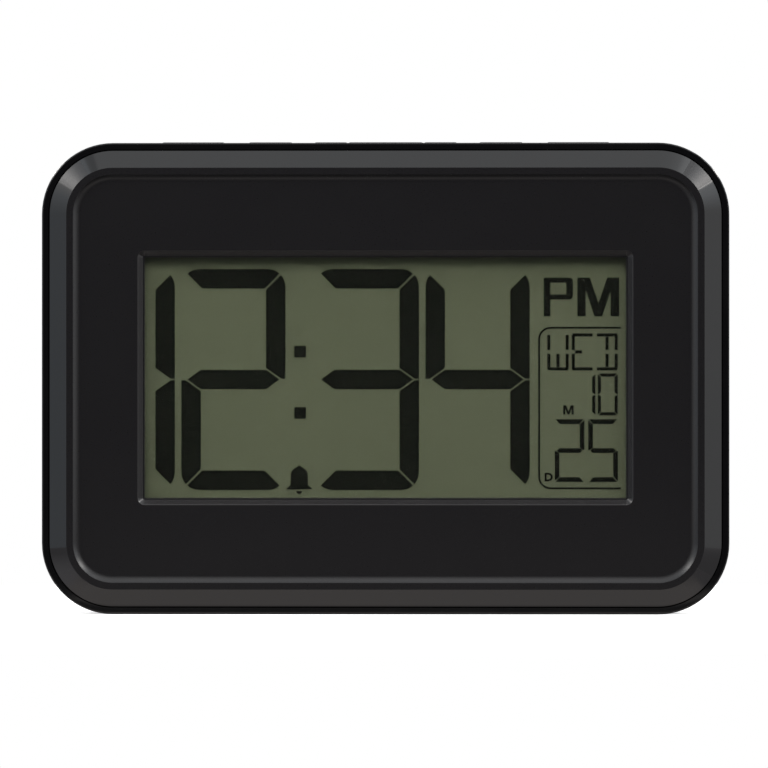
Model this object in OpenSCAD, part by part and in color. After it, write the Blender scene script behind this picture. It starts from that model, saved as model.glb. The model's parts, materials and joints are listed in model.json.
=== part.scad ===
// Digital desk and wall clock: a rear case with an inset front bezel, a reflective display,
// seven top buttons, a two-cell battery bay with a hinged cover, and a fold-out stand.
// Units are millimetres. X runs to the right seen from the front, Y from front to back, Z up.
// The origin lies under the middle of the case, on the surface that the clock stands on.

/* [Case] */
// Overall width
case_w = 234; // [226:1:260]
// Overall height
case_h = 160.5; // [156:0.5:180]
// Overall depth, front ledge to back
case_d = 30; // [30:0.5:40]
// Corner radius of the outline
corner_r = 24.3; // [22:0.1:28]
// Wall of the rear case
case_wall = 2.3; // [2:0.1:2.8]
// Radius of the rear case's front rim
rim_round = 1.8; // [1:0.1:1.9]
// Radius of the rear case's back edges
back_round = 4; // [3:0.1:5]
// Gap of the seam between rear case and bezel
seam_gap = 0.35; // [0.2:0.05:0.5]

/* [Front bezel] */
// Width of the sloping ring
chamfer_w = 5.95; // [5:0.05:7]
// Depth of the sloping ring
chamfer_depth = 4; // [3:0.1:5]
// Width of the flat ledge inside the ring
ledge_w = 2.35; // [1.5:0.05:3]
// Width of the rounded step down to the panel
step_w = 2.5; // [1.5:0.1:3]
// Depth of the panel behind the ledge
panel_recess = 1.5; // [1:0.1:2]
// Thickness of the panel
panel_wall = 2.2; // [2:0.1:2.6]
// Thickness of the skirt inside the rear case
skirt_wall = 2; // [1.6:0.1:2.4]
// Length of the skirt behind the ring
skirt_len = 5.5; // [4:0.1:6]

/* [Window] */
// Width of the panel beside the window
panel_side = 19.2; // [17:0.1:24]
// Height of the panel above and below the window
panel_band = 23.4; // [20:0.1:26]
// Width of the bevel around the display
bevel_w = 2.5; // [1.5:0.1:3]
// Height of the window's middle above the case's middle
window_rise = 0.3; // [0:0.1:2]
// Thickness of the lens
lens_t = 1.2; // [1:0.1:1.4]
// Margin of the lens around the visible display
lens_margin = 5; // [4:0.1:6]
// Thickness of the adhesive gasket
gasket_t = 0.3; // [0.2:0.05:0.4]
// Width of the adhesive gasket
gasket_w = 3.4; // [2:0.1:4]

/* [Display] */
// Thickness of each glass
glass_t = 1.1; // [0.9:0.05:1.2]
// Thickness of each polariser
polariser_t = 0.2; // [0.15:0.05:0.3]
// Thickness of the segment layer
segment_t = 0.1; // [0.05:0.01:0.15]
// Margin of the glass around the visible display
glass_margin = 3.6; // [3:0.1:4.5]
// Height of the contact ledge under the rear glass
contact_ledge = 3.2; // [3:0.1:4]
// Gap between lens and display
display_gap = 0.3; // [0.2:0.05:0.6]

/* [Numerals] */
// Hour tens
hour_tens = 1; // [0:1:1]
// Hour units
hour_units = 2; // [0:1:9]
// Minute tens
minute_tens = 3; // [0:1:5]
// Minute units
minute_units = 4; // [0:1:9]
// Month
month_value = 10; // [10:1:12]
// Day of the month
day_value = 25; // [10:1:31]
// Margin above and below the large numerals
numeral_margin = 3.25; // [3:0.05:8]
// Stroke of the large numerals
numeral_stroke = 6.65; // [4:0.05:7]
// Corner radius of the large numerals
numeral_r = 6.1; // [3:0.1:6.5]
// Gap between neighbouring large numerals
numeral_gap = 2.2; // [1.5:0.1:4]
// Gap that holds the colon
colon_gap = 10; // [8:0.1:12]
// Side of the colon's squares
colon_dot = 4; // [3:0.1:5]
// Spacing of the colon's squares
colon_spacing = 20.9; // [16:0.1:26]
// Margin left of the hour tens
hour_margin = 3.45; // [2:0.05:5]
// Width of the date column beside the large numerals
date_column_w = 32.7; // [32:0.1:36]
// Gap between neighbouring segments
segment_gap = 0.65; // [0.4:0.05:0.9]
// Width of the day's numerals
day_w = 9.9; // [8:0.1:10.5]
// Height of the day's numerals
day_h = 21.1; // [18:0.1:22]
// Stroke of the day's numerals
day_stroke = 1.4; // [1:0.1:1.8]
// Width of the month's numerals
month_w = 6.6; // [5:0.1:7]
// Height of the month's numerals
month_h = 14.1; // [12:0.1:15]
// Stroke of the month's numerals
month_stroke = 0.9; // [0.7:0.1:1.2]

/* [Buttons] */
// Width of the middle button
snooze_w = 25.5; // [22:0.1:28]
// Width of the two buttons beside the middle one
side_w = 11.3; // [9:0.1:12]
// Gap between the middle button and its neighbours
side_gap = 0.35; // [0.3:0.05:0.5]
// Width of the inner pair of buttons
inner_w = 14.9; // [12:0.1:16]
// Distance of the inner pair from the middle
inner_x = 39.4; // [38:0.1:41]
// Width of the outer pair of buttons
outer_w = 21.4; // [16:0.1:22]
// Distance of the outer pair from the middle
outer_x = 65.8; // [65:0.1:68]
// Depth of the buttons, front to back
button_d = 8; // [6:0.1:9]
// Distance of the button row behind the case's middle
button_y = 2.5; // [2:0.1:3]
// Height of the buttons above the case
button_rise = 0.6; // [0.6:0.05:1]
// Travel of the buttons
button_travel = 0.6; // [0.4:0.05:0.6]
// Gap around the buttons in the case
button_gap = 0.3; // [0.25:0.05:0.4]

/* [Battery bay] */
// Diameter of a cell
cell_d = 14.2; // [13.8:0.1:14.4]
// Length of a cell, with its nub
cell_len = 50.5; // [48:0.1:51]
// Gap between the cells, and between a cell and the bay
cell_gap = 0.4; // [0.3:0.05:0.6]
// Length of the pressed contact springs
spring_len = 6; // [5:0.1:7]
// Wall of the battery bay
bay_wall = 1.4; // [1.2:0.1:1.8]
// Distance of the battery cover from the case's right side
bay_side = 20.75; // [20:0.05:24]
// Thickness of the battery cover
cover_t = 1.8; // [1.6:0.1:2]
// Height of the cover's hinge axis
cover_axis_z = 28.6; // [27:0.1:30]

/* [Stand] */
// Distance between the stand and the battery cover
stand_side = 7.75; // [7.5:0.05:16]
// Length of the stand below its axis
stand_len = 82; // [70:0.5:83]
// Thickness of the stand
stand_t = 3.2; // [3:0.1:3.2]
// Height of the stand's foot above the case's lower edge
stand_foot_z = 8; // [6:0.5:14]
// Width of the finger notch, as a share of the stand's width
notch_w_share = 0.357; // [0.25:0.001:0.4]
// Height of the finger notch in the stand's foot
notch_h = 7; // [6:0.5:9]

/* [Hinges] */
// Radius of the hinge knuckles, and depth of their axes behind the back face
knuckle_r = 1.6; // [1.6:0.05:1.7]
// Radius of the stub pins
pin_r = 1; // [0.8:0.05:1.05]
// Length of the stub pins
pin_len = 2.4; // [2:0.1:2.6]
// Radial clearance of the pins in their sockets
pin_clearance = 0.05; // [0.03:0.01:0.08]

/* [Boards] */
// Thickness of the circuit boards
board_t = 1.6; // [1.2:0.1:1.6]
// Height of the main board
board_h = 46; // [42:0.5:50]
// Length of the key board beyond the outer switches
key_board_margin = 6.2; // [4:0.1:8]
// Depth of the key board, front to back
key_board_d = 9.4; // [8:0.1:9.6]
// Side of a tactile switch
switch_w = 6; // [5:0.1:6.2]
// Height of a tactile switch
switch_h = 3.5; // [3:0.1:4]
// Radius of a switch plunger
plunger_r = 1.75; // [1.5:0.05:1.9]
// Height of a switch plunger above its switch
plunger_h = 1.5; // [1.4:0.05:1.8]
// Length of a button's stem
stem_len = 3.9; // [3:0.1:4.5]

/* [Fixings] */
// Radius of the case screws' shanks
screw_r = 1.3; // [1.1:0.05:1.5]
// Radius of the case screws' heads
screw_head_r = 2.7; // [2.4:0.05:2.9]
// Radius of the wells that take the case screws
well_r = 3.3; // [3.2:0.05:3.5]
// Spacing of the two wall hangers
hanger_spacing = 120; // [110:1:130]
// Distance of the wall hangers' round holes below the case's top
hanger_drop = 38.5; // [36:0.5:42]
// Radius of the wall hangers' round holes
hanger_r = 4.2; // [3.8:0.1:4.6]
// Radius of the wall hangers' narrow slots
hanger_slot_r = 2.2; // [1.8:0.1:2.4]
// Rise of the wall hangers' slots above the round holes
hanger_rise = 7; // [6:0.1:8]
// Radius of the buzzer's brass disc
buzzer_r = 13.5; // [11:0.1:14]

/* [Hidden] */
BUTTONS = [
    "alarm_button", "time_button", "down_button", "snooze_button", "up_button", "mode_button", "date_button"
];
PLUNGERS = [
    "alarm_plunger", "time_plunger", "down_plunger", "snooze_plunger", "up_plunger", "mode_plunger",
    "date_plunger"
];
$fn = 64;

// Clearances and overruns that many pieces share
fit_gap = 0.3;
slip_gap = 0.1;
weld = 0.5;
overrun = 1;
bend_steps = 8;

// Depths, front to back
y_front = -case_d/2;
y_back = case_d/2;
y_ring = y_front + chamfer_depth;
y_panel = y_front + panel_recess;
y_seat = y_panel + panel_wall;
y_lens = y_seat + gasket_t;
y_lens_back = y_lens + lens_t;
y_polariser = y_lens_back + display_gap;
y_glass = y_polariser + polariser_t;
y_segments = y_glass + glass_t;
y_rear_glass = y_segments + segment_t;
y_reflector = y_rear_glass + glass_t;
y_plate = y_reflector + polariser_t + slip_gap;
holder_plate_t = 1.8;
y_board = y_plate + holder_plate_t;
y_board_back = y_board + board_t;
y_skirt = y_ring + skirt_len;
y_inner = y_back - case_wall;
bezel_boss_len = 11.3;
y_join = y_seat + bezel_boss_len;

// Outlines that follow each other inwards from the case's outer edge
ring_inset = case_wall + seam_gap;
ledge_inset = ring_inset + chamfer_w;
step_inset = ledge_inset + ledge_w;
panel_inset = step_inset + step_w;
case_mid_z = case_h/2;
window_z = case_mid_z + window_rise;
view_w = case_w - 2*(panel_inset + panel_side + bevel_w);
view_h = case_h - 2*(panel_inset + panel_band + bevel_w);

// Display glass and its holder
glass_w = view_w + 2*glass_margin;
rear_glass_h = view_h + 2*glass_margin;
glass_h = rear_glass_h + contact_ledge;
glass_z = window_z - contact_ledge/2;
film_margin = 2.2;
holder_wall = 5.6;
holder_top_wall = 3;
holder_foot = 8.4;
holder_half_w = glass_w/2 + fit_gap + holder_wall;
holder_low_z = glass_z - glass_h/2 - fit_gap - holder_foot;
holder_high_z = glass_z + glass_h/2 + fit_gap + holder_top_wall;
ear_r = 3.4;
ear_x = holder_half_w + ear_r;
ear_inset_z = 24;
small_screw_r = 0.9;
small_head_r = 2;
small_head_h = 1.3;
small_screw_len = 5.2;
post_r = 2.8;
pilot_gap = 0.05;
ledge_z = window_z - rear_glass_h/2 - contact_ledge/2;
zebra_t = 2.2;
zebra_margin = 13.5;
zebra_slot_gap = 0.2;

// Main board, level with the holder's left and lower edges and clear of the battery bay
contact_t = 0.4;
tab_half_w = 1.5;
tab_reach = 2.6;
bay_w = cell_len + spring_len + 2*contact_t;
cover_lap = 1.6;
cover_half_w = bay_w/2 + cover_lap;
bay_x = case_w/2 - bay_side - cover_half_w;
board_side_gap = 1.7;
board_x0 = -holder_half_w;
board_x1 = bay_x - bay_w/2 - bay_wall - tab_reach - board_side_gap;
board_w = board_x1 - board_x0;
zebra_w = board_w - 2*zebra_margin;
board_z0 = holder_low_z;
board_z1 = board_z0 + board_h;
board_mid_x = (board_x0 + board_x1)/2;
board_screw_inset = 3.4;
left_screw_share = 0.22;
board_screws = [
    [board_x0 + board_w*left_screw_share, board_z0 + board_screw_inset],
    [board_x1 - board_screw_inset, board_z0 + board_screw_inset],
    [-holder_half_w + holder_wall/2, board_z1 - 2*board_screw_inset]
];
chip_r = 7;
chip_h = 1.6;
crystal_r = 1.5;
crystal_len = 8;
capacitor_r = 2.5;
capacitor_h = 5.5;
resistor = [3.2, 0.6, 1.6];
resistor_pitch = 5;

// Key board under the buttons
cap_flange_t = 1.2;
cap_flange_reach = 1.2;
case_top_under = case_h - case_wall;
flange_top_z = case_top_under - slip_gap;
flange_z = flange_top_z - cap_flange_t;
stem_r = 2;
plunger_top_z = flange_z - stem_len;
switch_top_z = plunger_top_z - plunger_h;
key_board_top_z = switch_top_z - switch_h;
key_board_z = key_board_top_z - board_t;
key_board_half_w = outer_x + switch_w/2 + key_board_margin;
plunger_root = 1.2;
rib_t = 2;
rib_inner_x = button_reach_x(2) + (inner_x - inner_w/2 - button_reach_x(2))/2;
rib_outer_x = (inner_x + inner_w/2 + outer_x - outer_w/2)/2;
rib_foot = 4.4;
rib_front_gap = 1;
ribbon_w = 10;
ribbon_t = 0.9;
ribbon_x = -10;

// Battery bay, seen through the back
bay_h = 2*cell_d + 3*cell_gap;
cell_pitch = cell_d + cell_gap;
axis_y = y_back - knuckle_r;
y_cover = y_back - cover_t;
cell_y = y_cover - cell_gap - cell_d/2;
y_bay_floor = cell_y - cell_d/2 - cell_gap;
bay_z0 = cover_axis_z + knuckle_r;
bay_z1 = bay_z0 + bay_h;
bay_mid_z = (bay_z0 + bay_z1)/2;
cover_top_z = bay_z1 + cover_lap;
thumb_half_w = 8;
thumb_h = 6;
thumb_depth = 1.7;
pad_t = 1.5;
grip_pitch = 2.4;
grip_w = 1;
grip_depth = 0.4;
grip_half_w = 12;
grip_count = 4;
nub_r = 2.7;
nub_h = 1.2;
contact_half_w = 5;
contact_half_h = 5.6;
spring_turns = 3.5;
spring_wire_r = 0.45;
spring_root_r = 4.4;
spring_tip_r = 3;
spring_ring_steps = 10;
spring_sides = 6;

// Stand and its recess in the back
stand_half_w = case_w/2 - bay_side - 2*cover_half_w - stand_side;
notch_half_w = stand_half_w*notch_w_share;
stand_axis_z = stand_foot_z + stand_len;
recess_gap = 0.3;
y_stand = y_back - stand_t;
y_recess = y_stand - recess_gap;
hinge_block_w = pin_len + bay_wall;
hinge_block_h = 4;
stand_panel_inset = 6;
stand_panel_depth = 0.8;

// Case screws, clear of the corners and level with the sides' middle
screw_corner_inset = 15;
screw_corner_rise = 18;
screw_side_inset = 11;
boss_wall = 1.3;
boss_r = well_r + boss_wall;
bezel_boss_wall = 2.3;
well_floor_t = 2.2;
screw_head_h = 1.8;
screw_bite = 8;
screw_hole_spare = 1.1;
screw_spots = [
    for (s = [-1, 1])
        each [
            [s*(case_w/2 - screw_corner_inset), screw_corner_rise],
            [s*(case_w/2 - screw_corner_inset), case_h - screw_corner_rise],
            [s*(case_w/2 - screw_side_inset), case_mid_z]
        ]
];
cross_t = 0.7;
cross_depth_share = 0.6;
cross_length_share = 1.15;

// Wall hangers: a round hole with a narrow slot above it, over a closed pocket
hanger_z = case_h - hanger_drop;
pocket_depth = 5;
pocket_wall = 1.2;
pocket_margin = 2;

// Buzzer, on a ring inside the back, behind a rose of small holes
buzzer_side = 55;
buzzer_x = buzzer_side - case_w/2;
buzzer_z = 45;
buzzer_t = 0.25;
ceramic_inset = 3.5;
ceramic_r = buzzer_r - ceramic_inset;
ceramic_t = 0.2;
ring_t = 1.5;
ring_h = 3;
rose_hole_r = 1;
rose_r = 6;
rose_count = 6;
lead_r = 0.5;

// Display layout: the large numerals share what the colon, the gaps and the date column leave
numeral_drop = 0.6;
colon_drop = 0.95;
whole_numerals = 3;
small_gap = 0.3;
day_gap = 1.5;
day_margin = 2.8;
day_rise = 5.55;
month_gap = 1;
month_margin = 2.85;
month_rise = 1.5;
notch_share = 0.22;
half_share = 0.42;
numeral_h = view_h - 2*numeral_margin;
numerals_right_x = view_w/2 - date_column_w;
numerals_left_x = numeral_stroke + hour_margin - view_w/2;
numeral_w = (numerals_right_x - numerals_left_x - 2*numeral_gap - colon_gap)/whole_numerals;
numeral_pitch = numeral_w + numeral_gap;
colon_pitch = numeral_w + colon_gap;
minute_units_x = numerals_right_x - numeral_w/2;
minute_tens_x = minute_units_x - numeral_pitch;
hour_units_x = minute_tens_x - colon_pitch;
hour_tens_x = hour_units_x - numeral_pitch;
day_x = view_w/2 - day_margin - day_w/2;
day_z = day_rise + day_h/2 - view_h/2;
month_x = view_w/2 - month_margin - month_w/2;
month_z = day_z + day_h/2 + month_rise + month_h/2;
lit_segments = ["abcdef", "bc", "abdeg", "abcdg", "bcfg", "acdfg", "acdefg", "abc", "abcdefg", "abcdfg"];

// The angle at which the rounded step leaves the ledge
step_start_angle = 170;

function arc(cx, cy, rx, ry, from, to) =
    [for (i = [0:bend_steps]) let (a = from + (to - from)*i/bend_steps) [cx + rx*cos(a), cy + ry*sin(a)]];

// The section of the bezel's frame: distance inwards from the case's edge, then depth
bezel_profile = concat(
    [
        [ring_inset, y_skirt],
        [ring_inset, y_ring],
        [ledge_inset, y_front],
        [step_inset, y_front]
    ],
    arc(panel_inset, y_front, step_w, panel_recess, step_start_angle, 90),
    [
        [panel_inset, y_seat],
        [ledge_inset, y_seat],
        [ring_inset + skirt_wall, y_ring + skirt_wall/2],
        [ring_inset + skirt_wall, y_skirt]
    ]
);

// The section of the rear case's wall
rear_profile = concat(
    arc(rim_round, y_ring + rim_round, rim_round, rim_round, 180, 270),
    [[case_wall, y_ring], [case_wall, y_back - back_round]],
    arc(back_round, y_back - back_round, back_round - case_wall, back_round - case_wall, 180, 90),
    arc(back_round, y_back - back_round, back_round, back_round, 90, 180)
);

// The section of the window's bevel, inwards from its outer edge
bevel_profile = [[-weld, y_panel], [0, y_panel], [bevel_w, y_seat], [-weld, y_seat]];

// A rounded rectangle from squares and circles
module rounded(w, h, r) {
    square([w, h - 2*r], center = true);
    square([w - 2*r, h], center = true);
    for (sx = [-1, 1], sz = [-1, 1])
        translate([sx*(w/2 - r), sz*(h/2 - r)]) circle(r);
}

// Stands a flat drawing up between two depths
module slab(y0, y1, z = 0) {
    translate([0, y1, z]) rotate([90, 0, 0]) linear_extrude(y1 - y0) children();
}

// A box between two opposite corners
module block(low, high) {
    translate(low) cube(high - low);
}

// A round rod along Y
module rod_y(x, z, y0, y1, r) {
    translate([x, y1, z]) rotate([90, 0, 0]) cylinder(h = y1 - y0, r = r);
}

// A round rod along X
module rod_x(x0, x1, y, z, r) {
    translate([x0, y, z]) rotate([0, 90, 0]) cylinder(h = x1 - x0, r = r);
}

// Carries a section around a rounded rectangle: four straight runs and four quarter turns
module frame_sweep(w, h, r, profile, z) {
    section = [for (p = profile) [r - p[0], -p[1]]];
    translate([0, 0, z]) rotate([90, 0, 0])
        for (k = [0:3]) {
            half_run = (k % 2 == 0 ? w : h)/2 - r;
            half_reach = (k % 2 == 0 ? h : w)/2 - r;
            rotate(90*k) translate([0, half_reach, 0]) {
                translate([-half_run, 0, 0]) rotate([90, 0, 90]) linear_extrude(2*half_run) polygon(section);
                translate([half_run, 0, 0]) rotate_extrude(angle = 90) polygon(section);
            }
        }
}

// A flat ring between two rounded rectangles
module flat_ring(w, h, r, t, y0, y1, z) {
    slab(y0, y1, z) difference() {
        rounded(w, h, r);
        rounded(w - 2*t, h - 2*t, max(r - t, slip_gap));
    }
}

// A round wire through a list of points
module wire(points, r) {
    for (i = [0:len(points) - 2]) {
        run = points[i + 1] - points[i];
        translate(points[i]) rotate([0, acos(run[2]/norm(run)), atan2(run[1], run[0])])
            cylinder(h = norm(run), r = r);
        if (i > 0) translate(points[i]) sphere(r);
    }
}

// A pan-head screw along Y, its head towards the back
module screw(x, z, y_under, head_r, head_h, shank_r, shank_len) {
    difference() {
        union() {
            rod_y(x, z, y_under, y_under + head_h, head_r);
            rod_y(x, z, y_under - shank_len, y_under + head_h/2, shank_r);
        }
        for (turn = [0, 90])
            translate([x, y_under + head_h, z]) rotate([0, turn, 0])
                cube([head_r*cross_length_share, head_h*cross_depth_share*2, cross_t], center = true);
    }
}

// Buttons: index 0 to 6 from left to right, 3 is the middle one
function button_width(i) = [snooze_w, side_w, inner_w, outer_w][abs(i - 3)];
function button_x(i) = sign(i - 3)*[0, snooze_w/2 + side_gap + side_w/2, inner_x, outer_x][abs(i - 3)];
function button_reach_x(i) = abs(button_x(i)) + button_width(i)/2;

module front_bezel() {
    color("#1c1c1e") difference() {
        union() {
            frame_sweep(case_w, case_h, corner_r, bezel_profile, case_mid_z);
            difference() {
                slab(y_panel, y_seat, case_mid_z)
                    rounded(case_w - 2*(panel_inset - weld), case_h - 2*(panel_inset - weld),
                        corner_r - panel_inset + weld);
                slab(y_panel - overrun, y_seat + overrun, window_z)
                    rounded(view_w + 2*bevel_w, view_h + 2*bevel_w, bevel_w);
            }
            frame_sweep(view_w + 2*bevel_w, view_h + 2*bevel_w, bevel_w, bevel_profile, window_z);
            flat_ring(view_w + 2*(lens_margin + fit_gap + rib_t), view_h + 2*(lens_margin + fit_gap + rib_t),
                rib_t, rib_t, y_seat - weld, y_lens_back, window_z);
            for (p = screw_spots) rod_y(p[0], p[1], y_seat - weld, y_join, screw_r + bezel_boss_wall);
            for (p = ear_spots()) rod_y(p[0], p[1], y_seat - weld, y_plate, post_r);
        }
        for (p = screw_spots)
            rod_y(p[0], p[1], y_join - screw_bite - screw_hole_spare, y_join + overrun, screw_r + pilot_gap);
        for (p = ear_spots())
            rod_y(p[0], p[1], y_seat + slip_gap, y_plate + overrun, small_screw_r + pilot_gap);
    }
}

function ear_spots() = [
    for (sx = [-1, 1], z = [holder_low_z + ear_inset_z, holder_high_z - ear_inset_z]) [sx*ear_x, z]
];

module rear_case() {
    color("#121213") difference() {
        union() {
            frame_sweep(case_w, case_h, corner_r, rear_profile, case_mid_z);
            slab(y_inner, y_back, case_mid_z)
                rounded(case_w - 2*back_round, case_h - 2*back_round, corner_r - back_round);
            for (p = screw_spots) rod_y(p[0], p[1], y_join, y_inner + weld, boss_r);
            bay_walls();
            recess_walls();
            for (s = [-1, 1]) hanger_pocket(s*hanger_spacing/2, pocket_wall);
            buzzer_ring();
            key_board_ribs();
        }
        for (p = screw_spots) {
            rod_y(p[0], p[1], y_join + well_floor_t, y_back + overrun, well_r);
            rod_y(p[0], p[1], y_join - overrun, y_back, screw_r + fit_gap);
        }
        bay_cuts();
        recess_cuts();
        for (s = [-1, 1]) {
            hanger_pocket(s*hanger_spacing/2, 0);
            hanger_hole(s*hanger_spacing/2);
        }
        rod_y(buzzer_x, buzzer_z, y_inner - overrun, y_back + overrun, rose_hole_r);
        for (k = [0:rose_count - 1])
            rod_y(buzzer_x + rose_r*cos(360*k/rose_count), buzzer_z + rose_r*sin(360*k/rose_count),
                y_inner - overrun, y_back + overrun, rose_hole_r);
        button_openings();
    }
}

module bay_walls() {
    block([bay_x - bay_w/2 - bay_wall, y_bay_floor - bay_wall, bay_z0 - bay_wall],
        [bay_x + bay_w/2 + bay_wall, y_inner + weld, bay_z1 + bay_wall]);
    block([bay_x - thumb_half_w - bay_wall, y_inner - pad_t, bay_z1],
        [bay_x + thumb_half_w + bay_wall, y_inner + weld, cover_top_z + thumb_h + bay_wall]);
    for (s = [-1, 1])
        translate([bay_x + s*(cover_half_w + recess_gap + hinge_block_w/2), 0, 0])
            block([-hinge_block_w/2 - recess_gap, y_inner - pad_t, cover_axis_z - hinge_block_h],
                [hinge_block_w/2 + recess_gap, y_inner + weld, cover_axis_z + hinge_block_h]);
    block([bay_x - cover_half_w - bay_wall, axis_y - knuckle_r - recess_gap - bay_wall,
            cover_axis_z - knuckle_r - recess_gap - bay_wall],
        [bay_x + cover_half_w + bay_wall, y_inner + weld, bay_z0 + weld]);
}

module bay_cuts() {
    block([bay_x - bay_w/2, y_bay_floor, bay_z0], [bay_x + bay_w/2, y_back + overrun, bay_z1]);
    block([bay_x - cover_half_w - recess_gap, y_cover, cover_axis_z],
        [bay_x + cover_half_w + recess_gap, y_back + overrun, cover_top_z + recess_gap]);
    rod_x(bay_x - cover_half_w - recess_gap, bay_x + cover_half_w + recess_gap, axis_y, cover_axis_z,
        knuckle_r + recess_gap);
    block([bay_x - cover_half_w - recess_gap, axis_y, cover_axis_z - knuckle_r - recess_gap],
        [bay_x + cover_half_w + recess_gap, y_back + overrun, cover_axis_z]);
    rod_x(bay_x - cover_half_w - pin_len - fit_gap, bay_x + cover_half_w + pin_len + fit_gap, axis_y,
        cover_axis_z, pin_r + pin_clearance);
    block([bay_x - thumb_half_w, y_back - thumb_depth, cover_top_z],
        [bay_x + thumb_half_w, y_back + overrun, cover_top_z + thumb_h]);
    for (z = [bay_mid_z - cell_pitch/2, bay_mid_z + cell_pitch/2])
        block([bay_x - bay_w/2 - bay_wall - overrun, cell_y - tab_half_w - slip_gap, z - contact_t],
            [bay_x - bay_w/2 + overrun, cell_y + tab_half_w + slip_gap, z + contact_t]);
}

module recess_walls() {
    block([-stand_half_w - recess_gap - bay_wall, y_recess - bay_wall, stand_foot_z - recess_gap - bay_wall],
        [stand_half_w + recess_gap + bay_wall, y_inner + weld,
            stand_axis_z + knuckle_r + recess_gap + bay_wall]);
    for (s = [-1, 1])
        translate([s*(stand_half_w + recess_gap + hinge_block_w/2), 0, 0])
            block([-hinge_block_w/2 - recess_gap, y_recess - bay_wall, stand_axis_z - hinge_block_h],
                [hinge_block_w/2 + recess_gap, y_inner + weld,
                    stand_axis_z + knuckle_r + recess_gap + bay_wall]);
}

module recess_cuts() {
    block([-stand_half_w - recess_gap, y_recess, stand_foot_z - recess_gap],
        [stand_half_w + recess_gap, y_back + overrun, stand_axis_z + knuckle_r + recess_gap]);
    rod_x(-stand_half_w - pin_len - fit_gap, stand_half_w + pin_len + fit_gap, axis_y, stand_axis_z,
        pin_r + pin_clearance);
}

// The pocket behind a wall hanger; with no wall it is the pocket's own space
module hanger_pocket(x, wall) {
    reach = hanger_r + pocket_margin + wall;
    block([x - reach, y_inner - pocket_depth - wall, hanger_z - reach],
        [x + reach, y_inner + (wall > 0 ? weld : 0), hanger_z + hanger_rise + reach]);
}

module hanger_hole(x) {
    rod_y(x, hanger_z, y_inner - overrun, y_back + overrun, hanger_r);
    rod_y(x, hanger_z + hanger_rise, y_inner - overrun, y_back + overrun, hanger_slot_r);
    block([x - hanger_slot_r, y_inner - overrun, hanger_z],
        [x + hanger_slot_r, y_back + overrun, hanger_z + hanger_rise]);
}

module buzzer_ring() {
    difference() {
        rod_y(buzzer_x, buzzer_z, y_inner - ring_h, y_inner + weld, buzzer_r);
        rod_y(buzzer_x, buzzer_z, y_inner - ring_h - overrun, y_inner, buzzer_r - ring_t);
    }
}

// Four ribs hang from the top and grip the key board in a slot
module key_board_ribs() {
    board_y0 = button_y - key_board_d/2;
    for (s = [-1, 1], x = [rib_inner_x, rib_outer_x])
        difference() {
            block([s*x - rib_t/2, board_y0 + rib_front_gap, key_board_z - rib_foot],
                [s*x + rib_t/2, y_inner + weld, case_top_under + weld]);
            block([s*x - rib_t, board_y0 - overrun, key_board_z - slip_gap],
                [s*x + rib_t, board_y0 + key_board_d + slip_gap, key_board_top_z + slip_gap]);
        }
}

module button_openings() {
    middle_reach = button_reach_x(2) + button_gap;
    button_opening(0, 2*middle_reach);
    for (i = [0, 1, 5, 6]) button_opening(button_x(i), button_width(i) + 2*button_gap);
}

module button_opening(x, w) {
    block([x - w/2, button_y - button_d/2 - button_gap, case_top_under - overrun],
        [x + w/2, button_y + button_d/2 + button_gap, case_h + overrun]);
}

module window_lens() {
    color("#9aa6a8", 0.35) slab(y_lens, y_lens_back, window_z)
        rounded(view_w + 2*lens_margin, view_h + 2*lens_margin, bevel_w);
}

module lens_gasket() {
    color("#2c2c2c") flat_ring(view_w + 2*lens_margin, view_h + 2*lens_margin, bevel_w, gasket_w,
        y_seat, y_lens, window_z);
}

module lcd_film(y) {
    slab(y, y + polariser_t, window_z)
        square([view_w + 2*film_margin, view_h + 2*film_margin], center = true);
}

module lcd_front_polariser() {
    color("#8f9484", 0.35) lcd_film(y_polariser);
}

module lcd_front_glass() {
    color("#aeb6ae", 0.35) slab(y_glass, y_segments, glass_z) square([glass_w, glass_h], center = true);
}

module lcd_rear_glass() {
    color("#aeb6ae", 0.35) slab(y_rear_glass, y_reflector, window_z)
        square([glass_w, rear_glass_h], center = true);
}

module lcd_reflector() {
    color("#5c6049") lcd_film(y_reflector);
}

// One segment of a numeral; a, b and g are drawn, the others mirror them
module segment(name, w, h, stroke, gap) {
    cut = gap*sqrt(0.5);
    notch = stroke*notch_share;
    half_w = w/2;
    half_h = h/2;
    if (name == "a") polygon([
        [cut - half_w, half_h], [half_w - cut, half_h],
        [half_w - stroke - cut, half_h - stroke], [stroke + cut - half_w, half_h - stroke]
    ]);
    if (name == "b") polygon([
        [half_w, half_h - cut], [half_w, gap*half_share], [half_w - notch, gap*half_share],
        [half_w - stroke, stroke/2 + gap], [half_w - stroke, half_h - stroke - cut]
    ]);
    if (name == "g") polygon([
        [notch + gap - half_w, 0], [stroke - half_w, stroke/2], [half_w - stroke, stroke/2],
        [half_w - notch - gap, 0], [half_w - stroke, -stroke/2], [stroke - half_w, -stroke/2]
    ]);
    if (name == "c") mirror([0, 1]) segment("b", w, h, stroke, gap);
    if (name == "d") mirror([0, 1]) segment("a", w, h, stroke, gap);
    if (name == "f") mirror([1, 0]) segment("b", w, h, stroke, gap);
    if (name == "e") mirror([1, 0]) segment("c", w, h, stroke, gap);
}

module numeral(value, x, z, w, h, stroke, r, gap) {
    translate([x, z]) for (name = lit_segments[value])
        if (r > 0) intersection() {
            segment(name, w, h, stroke, gap);
            rounded(w, h, r);
        }
        else segment(name, w, h, stroke, gap);
}

// Two numerals side by side, the right one centred on x
module number_pair(value, x, z, w, h, stroke, gap) {
    numeral(value % 10, x, z, w, h, stroke, 0, small_gap);
    numeral(floor(value/10), x - w - gap, z, w, h, stroke, 0, small_gap);
}

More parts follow.
